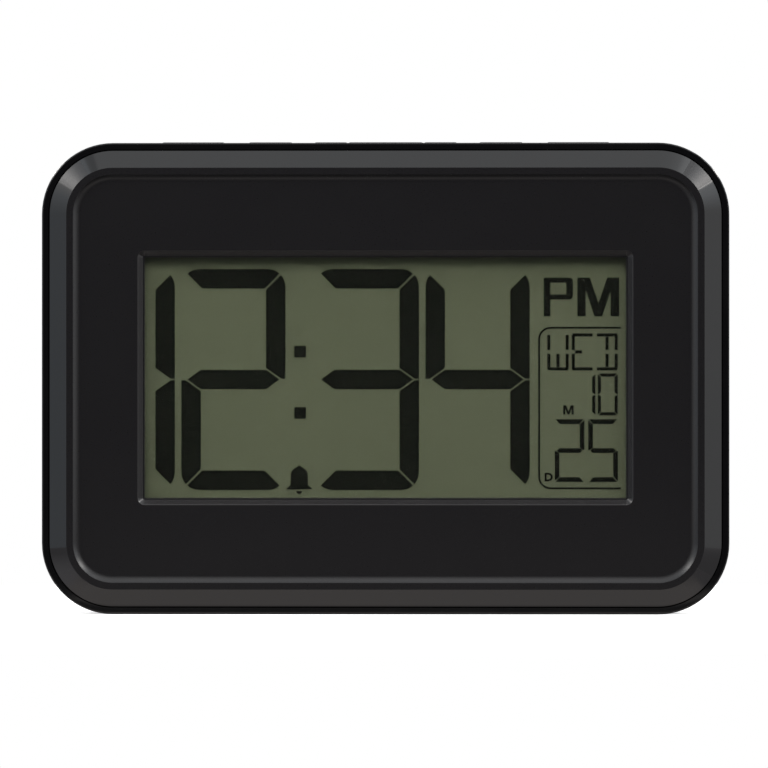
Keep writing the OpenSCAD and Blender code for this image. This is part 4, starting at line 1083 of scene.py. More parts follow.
# %% Bell
bell_u, bell_top, waist_v = -29.35, -29.85, -33.3
skirt_v, flare_v, flare_low = -36.6, -37.6, -38.0
bell_half, flare_half, knob_r = 2.95, 4.25, 0.55
clapper_r, clapper_drop = 1.0, 0.6
add_outline([
    *arc_points(bell_u, bell_top - knob_r, knob_r, 180, 0, 6)[::-1],
    *arc_points(bell_u, waist_v, bell_half, 100, 180, 8),
    (bell_u - bell_half, skirt_v), (bell_u - flare_half, flare_v), (bell_u - flare_half, flare_low),
    (bell_u + flare_half, flare_low), (bell_u + flare_half, flare_v), (bell_u + bell_half, skirt_v),
    *arc_points(bell_u, waist_v, bell_half, 0, 80, 8)
])
add_outline(arc_points(bell_u, flare_low - clapper_drop, clapper_r, 180, 360, 10))
bmesh.ops.recalc_face_normals(signs, faces=signs.faces)
make_piece("display_signs", signs, [segment_dark], "clock")

# %% [markdown]
# The numerals are the imported ones. Only the thin strokes of the date are widened a little, because in the
# photograph they look heavier than the imported ones do. Part of that heavier look is the soft shadow each
# stroke casts on the reflector, so the widening is partly real stroke width and partly painted shade.

# %% Numerals
date_left = 52*mm
# Part of this widening is painted shade: the dark stroke is stretched over the soft shadow it casts on the
# reflector.
date_widening_for_stroke_and_shadow = 0.22*mm


def connected(mesh):
    """Yields the groups of vertices that hang together."""
    left = set(mesh.verts)
    while left:
        group, fresh = [], [left.pop()]
        while fresh:
            vert = fresh.pop()
            group.append(vert)
            others = {edge.other_vert(vert) for edge in vert.link_edges} & left
            left -= others
            fresh += others
        yield group


def widen_date_for_stroke_and_shadow(mesh):
    """Widens each stroke of the date across its length, partly for the real stroke width and partly as
    painted shade for the stroke's shadow.
    """
    widened = 0
    for group in connected(mesh):
        lows, highs = [[pick(vert.co[axis] for vert in group) for axis in (0, 2)] for pick in (min, max)]
        if lows[0] < date_left:
            continue
        sizes = [high - low for low, high in zip(lows, highs)]
        thin = sizes.index(min(sizes))
        middle = (lows[thin] + highs[thin])/2
        for vert in group:
            vert.co[2*thin] = middle + (vert.co[2*thin] - middle)*(1 + date_widening_for_stroke_and_shadow/sizes[thin])
        widened += 1
    print("strokes widened:", widened)


moulded_copy("lcd_segments", [segment_dark], edge=0, reshape=widen_date_for_stroke_and_shadow)

# %% [markdown]
# ## Display layers
#
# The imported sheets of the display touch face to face. For a ray of light two faces in one plane are
# ambiguous and give faint rings, so each sheet is redrawn a hundredth of a millimetre thinner per side,
# with ground edges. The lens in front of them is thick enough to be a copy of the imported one, with its
# edges polished.

# %% Display sheets
air_gap = 0.012*mm
ground_edge = 0.12*mm
sheet_corner_r = 0.4*mm


def display_sheet(node, finish):
    """A flat sheet with slightly ground edges in place of a packed one."""
    low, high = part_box(node)
    half_w, half_h = (high.x - low.x)/2, (high.z - low.z)/2
    mid_x, mid_z = (high.x + low.x)/2, (high.z + low.z)/2
    front, back = low.y + air_gap, high.y - air_gap
    edge = min(ground_edge, (back - front)/4)
    sheet = bmesh.new()
    loft(sheet, [[(mid_x + u, y, mid_z + v) for u, v in
        rounded_loop(half_w - inset, half_h - inset, sheet_corner_r - inset, steps=3)]
        for inset, y in ((edge, front), (0, front + edge), (0, back - edge), (edge, back))])
    clean(sheet)
    return make_piece(node + "_sheet", sheet, [finish], "clock", [node])


moulded_copy("window_lens", [lens_clear], edge=ground_edge)
display_sheet("lcd_front_polariser", polariser_film)
display_sheet("lcd_front_glass", display_glass)
display_sheet("lcd_rear_glass", rear_glass_frosted)
display_sheet("lcd_reflector", reflector_foil)

# %% [markdown]
# ## Stock finishes
#
# Behind the bezel the clock is put together from ordinary stock: foam tape, laminate, rubber, plated and
# tinned metal. None of it is even in tone. One node group gives each finish its drift between two tones and
# a fine relief, and one function turns that into a material. Printed or plated areas are laid over it by
# masks that read the place on the piece.

# %% Drift group
fleck_share = 3.0


def make_drift():
    """Clouds with flecks in them: a mask from 0 to 1, and a normal for a relief in millimetres."""
    group, given, result = new_group("drift",
        [("Size", 2.0), ("Flecks", 0.3), ("Relief", 0.002)],
        [("Mask", "NodeSocketFloat"), ("Normal", "NodeSocketVector")])
    place = place_on_piece(group)
    scale = math_node(group, "DIVIDE", 1000.0, given["Size"])
    clouds = add_node(group, "ShaderNodeTexNoise", {"Vector": place, "Scale": scale, "Detail": 4.0})
    cells = add_node(group, "ShaderNodeTexVoronoi",
        {"Vector": place, "Scale": times(group, scale, fleck_share)})
    fleck = add_node(group, "ShaderNodeSeparateColor", {0: cells.outputs["Color"]}).outputs[0]
    share = times(group, math_node(group, "SUBTRACT", fleck, 0.5), given["Flecks"])
    group.links.new(math_node(group, "ADD", clouds.outputs[0], share), result.inputs["Mask"])
    height = times(group, cells.outputs["Distance"], times(group, given["Relief"], mm))
    bump = add_node(group, "ShaderNodeBump", {"Height": height, "Distance": 1.0})
    group.links.new(bump.outputs[0], result.inputs["Normal"])
    return group


drift = make_drift()


# %% Stock finishes
def stock(name, dark, light, roughness, size=2.0, flecks=0.3, relief=0.002, spread=0.15, metallic=0.0):
    """A finish that drifts between two tones. Sizes are in millimetres."""
    material, tree, shader = start_material(name, Metallic=metallic)
    tone = add_node(tree, "ShaderNodeGroup", node_tree=drift)
    tone.inputs["Size"].default_value = size
    tone.inputs["Flecks"].default_value = flecks
    tone.inputs["Relief"].default_value = relief
    feed(tree, blend(tree, tone.outputs["Mask"], (*dark, 1), (*light, 1)), shader, "Base Color")
    feed(tree, math_node(tree, "MULTIPLY_ADD", tone.outputs["Mask"], spread, roughness), shader, "Roughness")
    feed(tree, tone.outputs["Normal"], shader, "Normal")
    return material


def axes(tree):
    """The place on the piece as three outputs, in metres."""
    place = place_on_piece(tree)
    return list(add_node(tree, "ShaderNodeSeparateXYZ", {0: place}).outputs)


def stripes(tree, value, pitch, share, start=0.0):
    """1 on stripes that cover a share of each pitch."""
    shifted = math_node(tree, "SUBTRACT", value, start)
    phase = math_node(tree, "FRACT", math_node(tree, "DIVIDE", shifted, pitch))
    return math_node(tree, "LESS_THAN", phase, share)


def overprint(material, mask, colour, metallic=None):
    """Lays a second colour over a finish where a mask is 1, and makes it metal there if asked."""
    tree = material.node_tree
    shader = tree.nodes["Principled BSDF"]
    below = shader.inputs["Base Color"].links[0].from_socket
    feed(tree, blend(tree, mask, below, (*colour, 1)), shader, "Base Color")
    if metallic is not None:
        feed(tree, times(tree, mask, metallic), shader, "Metallic")


# %% Plain stock
tin = (0.58, 0.57, 0.54)
gasket_foam = stock("gasket_foam", (0.014, 0.014, 0.015), (0.03, 0.03, 0.031), 0.85, size=0.6, relief=0.05)
holder_plastic = stock("holder_plastic", (0.026, 0.026, 0.028), (0.034, 0.034, 0.036), 0.42, size=9.0,
    flecks=0.05)
screw_steel = stock("screw_steel", (0.42, 0.43, 0.45), (0.60, 0.60, 0.61), 0.24, size=0.8, metallic=1.0)
contact_nickel = stock("contact_nickel", (0.52, 0.50, 0.46), (0.68, 0.66, 0.61), 0.2, size=1.6, metallic=1.0)
solder = stock("solder", (0.45, 0.45, 0.46), (0.66, 0.66, 0.66), 0.28, size=0.7, relief=0.02, metallic=1.0)
chip_resin = stock("chip_resin", (0.006, 0.006, 0.007), (0.013, 0.013, 0.014), 0.22, size=3.0, relief=0.01)
crystal_can = stock("crystal_can", (0.55, 0.55, 0.57), (0.72, 0.72, 0.73), 0.18, size=1.2, metallic=1.0)
plunger_plastic = stock("plunger_plastic", (0.60, 0.58, 0.53), (0.70, 0.68, 0.63), 0.38, size=1.5, flecks=0.1)
piezo_ceramic = stock("piezo_ceramic", (0.60, 0.58, 0.53), (0.72, 0.70, 0.66), 0.45, size=0.8, flecks=0.5)
buzzer_brass = stock("buzzer_brass", (0.56, 0.38, 0.13), (0.70, 0.50, 0.20), 0.22, size=3.5, metallic=1.0)
cell_wrap = stock("cell_wrap", (0.035, 0.075, 0.13), (0.045, 0.092, 0.155), 0.28, size=7.0, flecks=0.1)
cell_band = stock("cell_band", (0.50, 0.51, 0.52), (0.58, 0.59, 0.60), 0.3, size=7.0, flecks=0.1)
cell_washer = stock("cell_washer", (0.035, 0.033, 0.03), (0.05, 0.047, 0.043), 0.8, size=0.6)
sleeve_blue = stock("capacitor_sleeve", (0.014, 0.026, 0.065), (0.022, 0.036, 0.085), 0.34, size=2.0,
    flecks=0.1)
aluminium = stock("aluminium", (0.66, 0.66, 0.67), (0.78, 0.78, 0.79), 0.3, size=0.8, metallic=1.0)


# %% Board laminate
track_pitch, track_share, field_size = 1.3*mm, 0.42, 6.5*mm
pad_pitch, pad_r = 2.6*mm, 0.17
trackless, padless = 0.3, 0.72
lacquer_dark, lacquer_light, track_green = (0.006, 0.045, 0.018), (0.009, 0.058, 0.024), (0.016, 0.105, 0.042)


def laminate_finish():
    """Green laminate: tracks show lighter through the lacquer, and tinned pads break it."""
    material = stock("board_laminate", lacquer_dark, lacquer_light, 0.3, size=6.0, flecks=0.1)
    tree = material.node_tree
    x, y, z = axes(tree)
    up = math_node(tree, "ADD", y, z)
    fields = add_node(tree, "ShaderNodeTexVoronoi",
        {"Vector": place_on_piece(tree), "Scale": 1/field_size, "Randomness": 0.6}, distance="CHEBYCHEV")
    red, green, blue = add_node(tree, "ShaderNodeSeparateColor", {0: fields.outputs["Color"]}).outputs
    runs_up = math_node(tree, "GREATER_THAN", red, 0.5)
    across, along = [stripes(tree, value, track_pitch, track_share) for value in (x, up)]
    tracks = add_node(tree, "ShaderNodeMix", {"Factor": runs_up, "A": along, "B": across}, data_type="FLOAT")
    laid = times(tree, tracks.outputs["Result"], math_node(tree, "GREATER_THAN", green, trackless))
    overprint(material, laid, track_green)
    phases = [math_node(tree, "FRACT", math_node(tree, "DIVIDE", value, pad_pitch)) for value in (x, up)]
    off_x, off_up = [math_node(tree, "SUBTRACT", phase, 0.5) for phase in phases]
    reach_squared = math_node(tree, "ADD", times(tree, off_x, off_x), times(tree, off_up, off_up))
    on_pad = math_node(tree, "LESS_THAN", math_node(tree, "SQRT", reach_squared), pad_r)
    padded = math_node(tree, "GREATER_THAN", blue, padless)
    overprint(material, times(tree, on_pad, padded), tin, metallic=1.0)
    return material


# %% Rubber, ribbon and leads
carbon_black, lead_black, core_red = (0.012, 0.012, 0.012), (0.012, 0.012, 0.013), (0.35, 0.03, 0.025)
rubber_layer = 0.36*mm


def zebra_finish():
    """Silicone with carbon-filled layers, a few to each contact of the glass."""
    material = stock("zebra_rubber", (0.36, 0.34, 0.31), (0.42, 0.40, 0.36), 0.6, size=1.0)
    tree = material.node_tree
    overprint(material, stripes(tree, axes(tree)[0], rubber_layer, 0.5), carbon_black)
    return material


def split_finish(material, axis, split, colour):
    """Lays a second colour on the lower side of a plane across an axis."""
    tree = material.node_tree
    overprint(material, math_node(tree, "LESS_THAN", axes(tree)[axis], split), colour)
    return material


def ribbon_finish(first_core, core_pitch):
    """Grey ribbon, with the usual red mark on its first core."""
    material = stock("ribbon_plastic", (0.30, 0.295, 0.28), (0.37, 0.365, 0.35), 0.42, size=3.0, flecks=0.1)
    return split_finish(material, 0, first_core + core_pitch/2, core_red)


def lead_finish(name, axis, split):
    """A red and a black lead from one finish: which is which depends on the side of a plane."""
    material = stock(name, (0.30, 0.018, 0.015), (0.36, 0.024, 0.02), 0.36, size=2.0, flecks=0.1)
    return split_finish(material, axis, split, lead_black)


# %% Resistors and switches
def chip_end_finish(pitch, ends, end_share):
    """A film resistor: dark glaze in the middle, tinned ends that start at each of two places."""
    material = stock("resistor_glaze", (0.012, 0.012, 0.014), (0.022, 0.021, 0.022), 0.25, size=0.9,
        relief=0.004)
    tree = material.node_tree
    x = axes(tree)[0]
    tinned = [stripes(tree, x, pitch, end_share, end) for end in ends]
    overprint(material, math_node(tree, "MAXIMUM", *tinned), tin, metallic=1.0)
    return material


def switch_finish(cover_z):
    """A tactile switch: black body under a pressed steel cover."""
    material = stock("switch_plastic", (0.012, 0.012, 0.013), (0.02, 0.02, 0.021), 0.4, size=1.5, flecks=0.1)
    tree = material.node_tree
    overprint(material, math_node(tree, "GREATER_THAN", axes(tree)[2], cover_z), tin, metallic=1.0)
    return material


board_laminate = laminate_finish()
zebra_rubber = zebra_finish()
print("finishes:", len(bpy.data.materials))

# %% [markdown]
# ## Moulded and cut pieces inside
#
# The holder, the boards, the rubber strip, the gasket and the switches are right as they were packed. Like
# the case, each gets its small edge radius: half a tenth on the foam, more on moulded plastic.

# %% Inner mouldings
moulded_copy("lens_gasket", [gasket_foam], edge=0.05*mm)
moulded_copy("lcd_holder", [holder_plastic], edge=0.15*mm)
moulded_copy("zebra_strip", [zebra_rubber], edge=0.1*mm)
moulded_copy("main_board", [board_laminate], edge=0.08*mm)
moulded_copy("key_board", [board_laminate], edge=0.08*mm)
moulded_copy("clock_chip", [chip_resin], edge=0.12*mm)
switch_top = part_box("key_switches")[1].z
switch_cover_t = 0.6*mm
moulded_copy("key_switches", [switch_finish(switch_top - switch_cover_t)], edge=0.2*mm)

# %% [markdown]
# ## Turned pieces
#
# Plungers, cells, capacitors, the crystal's can and the buzzer's discs are all round, so each is a profile
# turned about an axis. The profile holds what tells the real part from a plain cylinder: the crimp of a
# capacitor, the folded wrap of a cell and the step round its nub.

# %% Lathe
PLANES = {0: (1, 2), 1: (2, 0), 2: (0, 1)}


def lathe(mesh, profile, start, axis, side=1, steps=40):
    """Turns (along, radius, finish) points, in millimetres, about an axis, from a start point."""
    u, v = PLANES[axis]
    rows = []
    for along, radius, _ in profile:
        row = []
        for i in range(steps):
            point = list(start)
            point[axis] += side*along*mm
            point[u] += radius*mm*math.cos(2*math.pi*i/steps)
            point[v] += radius*mm*math.sin(2*math.pi*i/steps)
            row.append(mesh.verts.new(point))
        rows.append(row)
    for low, high, (_, _, finish) in zip(rows, rows[1:], profile):
        for i in range(steps):
            j = (i + 1) % steps
            mesh.faces.new((low[i], low[j], high[j], high[i])).material_index = finish
    mesh.faces.new(rows[0][::-1]).material_index = profile[0][2]
    mesh.faces.new(rows[-1]).material_index = profile[-1][2]


def turned_piece(name, profile, starts, axis, finishes, node, side=1, body="clock"):
    """One piece of one or more turned shapes, in place of a node."""
    mesh = bmesh.new()
    for start in starts:
        lathe(mesh, profile, start, axis, side)
    clean(mesh)
    return make_piece(name, mesh, finishes, body, [node])


def middle(low, high):
    """Half way between two values or two corners."""
    return (low + high)/2


# %% Plungers
plunger_profile = [
    (0, 1.2, 0), (0.12, 1.55, 0), (0.4, 1.75, 0), (1.1, 1.75, 0), (1.25, 1.6, 0), (2.35, 1.6, 0),
    (2.6, 1.45, 0), (2.7, 1.1, 0)
]
for key in KEYS:
    low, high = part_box(key + "_plunger")
    spot = middle(low, high)
    turned_piece(key + "_plunger_pin", plunger_profile, [(spot.x, spot.y, low.z)], 2, [plunger_plastic],
        key + "_plunger", body=key + "_key")

# %% Crystal and capacitors
crystal_profile = [
    (0, 0.9, 0), (0.1, 1.25, 0), (0.35, 1.42, 0), (0.7, 1.46, 0), (6.9, 1.46, 0), (7.05, 1.32, 0),
    (7.2, 1.32, 0), (7.3, 1.5, 0), (7.85, 1.5, 0), (8, 1.38, 0)
]
low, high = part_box("quartz_crystal")
spot = middle(low, high)
turned_piece("quartz_crystal_can", crystal_profile, [(low.x, spot.y, spot.z)], 0, [crystal_can],
    "quartz_crystal")
capacitor_profile = [
    (0, 2.1, 0), (0.02, 2.35, 0), (0.3, 2.5, 0), (0.8, 2.5, 0), (1.05, 2.3, 0), (1.35, 2.3, 0), (1.6, 2.5, 0),
    (5.15, 2.5, 0), (5.4, 2.4, 0), (5.5, 2.2, 0), (5.44, 2.02, 1), (5.4, 1.95, 1), (5.4, 0.5, 1)
]
capacitor_r = 2.5*mm
low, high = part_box("capacitors")
capacitor_spots = [(x, low.y, middle(low.z, high.z)) for x in (low.x + capacitor_r, high.x - capacitor_r)]
turned_piece("capacitor_cans", capacitor_profile, capacitor_spots, 1, [sleeve_blue, aluminium],
    "capacitors")

# %% Buzzer discs
plate_profile = [(0, 13.42, 0), (0.06, 13.5, 0), (0.19, 13.5, 0), (0.25, 13.42, 0)]
ceramic_profile = [(0, 8.9, 1), (0.002, 9.1, 0), (0.03, 9.95, 0), (0.08, 10, 0), (0.2, 10, 0)]
low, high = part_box("buzzer_disc")
spot = middle(low, high)
turned_piece("buzzer_disc_plate", plate_profile, [(spot.x, low.y, spot.z)], 1, [buzzer_brass],
    "buzzer_disc")
low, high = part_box("buzzer_ceramic")
turned_piece("buzzer_ceramic_plate", ceramic_profile, [(spot.x, low.y, spot.z)], 1,
    [piezo_ceramic, aluminium], "buzzer_ceramic")

# %% Cells
cell_profile = [
    (0, 2.1, 2), (0.12, 2.5, 2), (0.4, 2.7, 2), (1.5, 2.7, 2), (1.7, 2.9, 3), (1.75, 5.3, 3), (1.5, 5.45, 1),
    (1.25, 5.8, 1), (1.2, 6.5, 1), (1.32, 6.9, 1), (1.7, 7.08, 1), (2.2, 7.1, 1), (11.0, 7.1, 1),
    (11.01, 7.1, 0), (49.4, 7.1, 0), (49.95, 6.95, 0), (50.2, 6.6, 0), (50.3, 5.8, 0), (50.1, 5.5, 2),
    (50.0, 4.7, 2), (50.42, 4.3, 2), (50.5, 3.9, 2)
]
cell_finishes = [cell_wrap, cell_band, contact_nickel, cell_washer]
for node, side in (("battery_upper", 1), ("battery_lower", -1)):
    low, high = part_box(node)
    spot = middle(low, high)
    nub_x = low.x if side > 0 else high.x
    turned_piece(node + "_cell", cell_profile, [(nub_x, spot.y, spot.z)], 0, cell_finishes, node,
        side)

# %% [markdown]
# ## Pieces grown by Geometry Nodes
#
# Thirteen screws of two sizes, two conical springs, the leads, the cores of the ribbon, a row of resistors
# and the solder joints are all one shape repeated on points or swept along a path. Each kind is a Geometry
# Nodes tree with its sizes as named inputs, so the same tree serves every size. Most points and paths come
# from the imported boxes.

# %% Geometry Nodes helpers
def new_tree(name, inputs):
    """An empty tree: geometry in and out, named inputs (name, kind, default), and a material."""
    tree = bpy.data.node_groups.new(name, "GeometryNodeTree")
    tree.interface.new_socket(name="Geometry", in_out="OUTPUT", socket_type="NodeSocketGeometry")
    tree.interface.new_socket(name="Geometry", in_out="INPUT", socket_type="NodeSocketGeometry")
    for label, kind, default in inputs:
        socket = tree.interface.new_socket(name=label, in_out="INPUT", socket_type="NodeSocket" + kind)
        socket.default_value = default
    tree.interface.new_socket(name="Material", in_out="INPUT", socket_type="NodeSocketMaterial")
    return tree, add_node(tree, "NodeGroupInput").outputs, add_node(tree, "NodeGroupOutput")


def close_tree(tree, geometry, given, result):
    """Every tree ends alike: real geometry with one material."""
    real = add_node(tree, "GeometryNodeRealizeInstances", {0: geometry})
    painted = add_node(tree, "GeometryNodeSetMaterial",
        {"Geometry": real.outputs[0], "Material": given["Material"]})
    tree.links.new(painted.outputs[0], result.inputs[0])
    return tree


def lifted(tree, geometry, height):
    """The same geometry, moved along Z."""
    place = add_node(tree, "ShaderNodeCombineXYZ", {"Z": height}).outputs[0]
    return add_node(tree, "GeometryNodeTransform", {"Geometry": geometry, "Translation": place}).outputs[0]


def swept(tree, curve, radius, sides):
    """A closed tube of even radius along a curve."""
    ring = add_node(tree, "GeometryNodeCurvePrimitiveCircle", {"Resolution": sides, "Radius": radius})
    tube = add_node(tree, "GeometryNodeCurveToMesh",
        {"Curve": curve, "Profile Curve": ring.outputs[0], "Fill Caps": True})
    return tube.outputs[0]


def placed_on(tree, points, shape, **turned):
    """The same shape on every point."""
    placed = add_node(tree, "GeometryNodeInstanceOnPoints", {"Points": points, "Instance": shape, **turned})
    return placed.outputs[0]


def several(tree, kind, meshes, **fields):
    """A node with one socket that takes many meshes."""
    made = add_node(tree, kind, None, **fields)
    many = [socket for socket in made.inputs if socket.is_multi_input][0]
    for mesh in meshes:
        tree.links.new(mesh, many)
    return made


def grow(name, tree, points, edges, sizes, finish, stands_for=(), body="clock", sharp_angle=32):
    """Runs a tree on points and edges, and keeps the result as a plain mesh."""
    data = bpy.data.meshes.new(name)
    data.from_pydata([tuple(point) for point in points], edges, [])
    piece = bpy.data.objects.new(name, data)
    bpy.context.scene.collection.objects.link(piece)
    modifier = piece.modifiers.new("grow", "NODES")
    modifier.node_group = tree
    values = dict(sizes, Material=finish)
    for item in tree.interface.items_tree:
        if item.in_out == "INPUT" and item.name in values:
            modifier[item.identifier] = values[item.name]
    plain_mesh(piece)
    shade(piece, sharp_angle)
    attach(piece, body)
    if stands_for:
        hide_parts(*stands_for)
    print(name, "faces:", len(piece.data.polygons))
    return piece


# %% [markdown]
# A screw is a pan head with a cross recess, a core, a point and a thread. The head and the core are joined
# and the recess is cut by booleans, the thread is a spiral swept by a small ring. Each screw is turned by a
# random amount, because nobody lines up the slots, with a fixed seed. The tree draws it upright and lays it
# along Y.

# %% Screw tree
crown_share_of_head, core_share, point_share, thread_share = 0.74, 0.8, 0.15, 0.19
core_reach, core_sunk, point_reach = 0.9, 0.3, 0.1
thread_reach, thread_foot = 0.82, -0.94
arm_reach, arm_rise = 1.15, 1.2


def screw_tree():
    """A pan-head screw with its sizes as inputs, turned by a random angle and laid along Y."""
    tree, given, result = new_tree("screw", [("Head radius", "Float", 2.7*mm),
        ("Head height", "Float", 1.8*mm), ("Shank radius", "Float", 1.3*mm), ("Shank length", "Float", 10*mm),
        ("Thread pitch", "Float", 0.9*mm), ("Recess width", "Float", 0.7*mm), ("Seed", "Int", 1)])
    head_r, head_h = given["Head radius"], given["Head height"]
    shank_r, shank_len = given["Shank radius"], given["Shank length"]
    rim_h = times(tree, head_h, 0.5)
    rim = add_node(tree, "GeometryNodeMeshCylinder", {"Vertices": 32, "Radius": head_r, "Depth": rim_h})
    crown = add_node(tree, "GeometryNodeMeshCone", {"Vertices": 32, "Radius Bottom": head_r,
        "Radius Top": times(tree, head_r, crown_share_of_head), "Depth": times(tree, head_h, 0.5)})
    core_r = times(tree, shank_r, core_share)
    sunk = times(tree, head_h, core_sunk)
    core_len = math_node(tree, "ADD", times(tree, shank_len, core_reach), sunk)
    core = add_node(tree, "GeometryNodeMeshCylinder", {"Vertices": 20, "Radius": core_r, "Depth": core_len})
    core_mid = math_node(tree, "SUBTRACT", sunk, times(tree, core_len, 0.5))
    point = add_node(tree, "GeometryNodeMeshCone", {"Vertices": 20, "Radius Top": core_r,
        "Radius Bottom": times(tree, shank_r, point_share), "Depth": times(tree, shank_len, point_reach)})
    blank = several(tree, "GeometryNodeMeshBoolean", [
        lifted(tree, rim.outputs["Mesh"], times(tree, rim_h, 0.5)),
        lifted(tree, crown.outputs["Mesh"], rim_h),
        lifted(tree, core.outputs["Mesh"], core_mid),
        lifted(tree, point.outputs["Mesh"], times(tree, shank_len, -1.0))
    ], operation="UNION", solver="EXACT")
    arm_len, arm_h = times(tree, head_r, arm_reach), times(tree, head_h, arm_rise)
    arms = []
    for pair in ({"X": arm_len, "Y": given["Recess width"]}, {"X": given["Recess width"], "Y": arm_len}):
        size = add_node(tree, "ShaderNodeCombineXYZ", {**pair, "Z": arm_h})
        arm = add_node(tree, "GeometryNodeMeshCube", {"Size": size.outputs[0]})
        arms.append(lifted(tree, arm.outputs["Mesh"], head_h))
    cut = several(tree, "GeometryNodeMeshBoolean", arms, operation="DIFFERENCE", solver="EXACT")
    tree.links.new(blank.outputs[0], cut.inputs["Mesh 1"])
    thread_len = times(tree, shank_len, thread_reach)
    spiral = add_node(tree, "GeometryNodeCurveSpiral",
        {"Resolution": 16, "Start Radius": core_r, "End Radius": core_r, "Height": thread_len,
        "Rotations": math_node(tree, "DIVIDE", thread_len, given["Thread pitch"])})
    thread = swept(tree, spiral.outputs[0], times(tree, shank_r, thread_share), sides=5)
    whole = several(tree, "GeometryNodeJoinGeometry",
        [cut.outputs[0], lifted(tree, thread, times(tree, shank_len, thread_foot))])
    spin = add_node(tree, "FunctionNodeRandomValue", {"Min": 0.0, "Max": math.pi/2, "Seed": given["Seed"]},
        data_type="FLOAT")
    turn = add_node(tree, "ShaderNodeCombineXYZ", {"X": -math.pi/2, "Y": spin.outputs["Value"]})
    placed = placed_on(tree, given["Geometry"], whole.outputs[0], Rotation=turn.outputs[0])
    return close_tree(tree, placed, given, result)


# %% Screws
screws = screw_tree()
small_screw = {"Head radius": 2.0*mm, "Head height": 1.3*mm, "Shank radius": 0.9*mm, "Shank length": 5.2*mm,
    "Thread pitch": 0.7*mm, "Recess width": 0.55*mm}
well_floor_y = 2.2*mm
case_screw_len = well_floor_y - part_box("case_screws")[0].y
grow("case_screw_set", screws, [(x, well_floor_y, z) for x, z in case_screw_spots], [],
    {"Shank length": case_screw_len, "Seed": 3}, screw_steel, ["case_screws"])
plate_back_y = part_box("lcd_holder_screws")[0].y + small_screw["Shank length"]
grow("lcd_holder_screw_set", screws, [(x, plate_back_y, z) for x, z in holder_screw_spots], [],
    dict(small_screw, Seed=5), screw_steel, ["lcd_holder_screws"])
board_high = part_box("main_board")[1]
board_back_y = board_high.y
board_screw_spots = [(-64.29*mm, board_back_y, 27.55*mm), (28.25*mm, board_back_y, 27.55*mm),
    (-88.55*mm, board_back_y, 63.35*mm)]
grow("main_board_screw_set", screws, board_screw_spots, [], dict(small_screw, Seed=8), screw_steel,
    ["main_board_screws"])

# %% [markdown]
# The battery contacts are pressed from nickel-plated sheet, with a solder tab bent through the bay's wall.
# The two that meet a cell's flat end carry a conical spring, which is a spiral curve swept by a ring.

# %% Spring tree
def spring_tree():
    """A coil that narrows as it rises, tilted to stand on its contact."""
    tree, given, result = new_tree("conical_spring", [("Turns", "Float", 3.5),
        ("Root radius", "Float", 4.4*mm), ("Tip radius", "Float", 3*mm), ("Rise", "Float", 5.1*mm),
        ("Wire radius", "Float", 0.45*mm), ("Tilt", "Float", math.pi/2)])
    coil = add_node(tree, "GeometryNodeCurveSpiral", {"Resolution": 28, "Rotations": given["Turns"],
        "Start Radius": given["Root radius"], "End Radius": given["Tip radius"], "Height": given["Rise"]})
    tube = swept(tree, coil.outputs[0], given["Wire radius"], sides=12)
    tilt = add_node(tree, "ShaderNodeCombineXYZ", {"Y": given["Tilt"]})
    placed = placed_on(tree, given["Geometry"], tube, Rotation=tilt.outputs[0])
    return close_tree(tree, placed, given, result)


# %% Contact sheets
def soft_block(mesh, low, high, axis, radius, edge):
    """A rounded block along an axis: corners of `radius`, both ends eased by `edge`."""
    u, v = PLANES[axis]
    half_u, half_v = (high[u] - low[u])/2, (high[v] - low[v])/2
    start, end = low[axis], high[axis]
    loops = []
    for inset, along in ((edge, start), (0, start + edge), (0, end - edge), (edge, end)):
        loop = []
        for a, b in rounded_loop(half_u - inset, half_v - inset, radius - inset, steps=5):
            point = [0.0, 0.0, 0.0]
            point[axis] = along
            point[u] = middle(low[u], high[u]) + a
            point[v] = middle(low[v], high[v]) + b
            loop.append(point)
        loops.append(loop)
    loft(mesh, loops)


sheet_t, plate_corner_r, plate_edge = 0.4*mm, 1.2*mm, 0.08*mm
tab_half_w, tab_t, tab_corner_r, tab_edge = 1.5*mm, 0.4*mm, 0.15*mm, 0.1*mm
bay_half = 28.65*mm
cover_low, cover_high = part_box("battery_cover")
bay_mid_x = middle(cover_low.x, cover_high.x)
bay_left, bay_right = bay_mid_x - bay_half, bay_mid_x + bay_half
for node in ("battery_spring_contact", "battery_plate_contact", "battery_bridge_contact"):
    low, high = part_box(node)
    far = node == "battery_bridge_contact"
    plate = bmesh.new()
    plate_low = (bay_right - sheet_t if far else bay_left, low.y, low.z)
    plate_high = (bay_right if far else bay_left + sheet_t, high.y, high.z)
    soft_block(plate, plate_low, plate_high, 0, plate_corner_r, plate_edge)
    if not far:
        tab_y, tab_z = middle(low.y, high.y), middle(low.z, high.z)
        soft_block(plate, (low.x, tab_y - tab_half_w, tab_z - tab_t/2),
            (bay_left + sheet_t/2, tab_y + tab_half_w, tab_z + tab_t/2), 0, tab_corner_r, tab_edge)
    clean(plate)
    make_piece(node + "_sheet", plate, [contact_nickel], "clock", [node])

# %% Springs
springs = spring_tree()
spring_wire = 0.45*mm
upper_cell, lower_cell = [middle(*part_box(node)) for node in ("battery_upper", "battery_lower")]
cell_axis_y, upper_z, lower_z = upper_cell.y, upper_cell.z, lower_cell.z
spring_root = sheet_t + spring_wire
for name, spot, tilt in (
    ("battery_lower_spring", (bay_left + spring_root, cell_axis_y, lower_z), math.pi/2),
    ("battery_upper_spring", (bay_right - spring_root, cell_axis_y, upper_z), -math.pi/2)
):
    grow(name, springs, [spot], [], {"Tilt": tilt}, contact_nickel, sharp_angle=50)

# %% [markdown]
# Leads and ribbon are one tree too: a path with rounded bends, swept by a ring and repeated at an even
# step. Two runs make a pair of leads, ten that touch make the ribbon.

# %% Wire tree
buzzer_lead_step = 6*mm


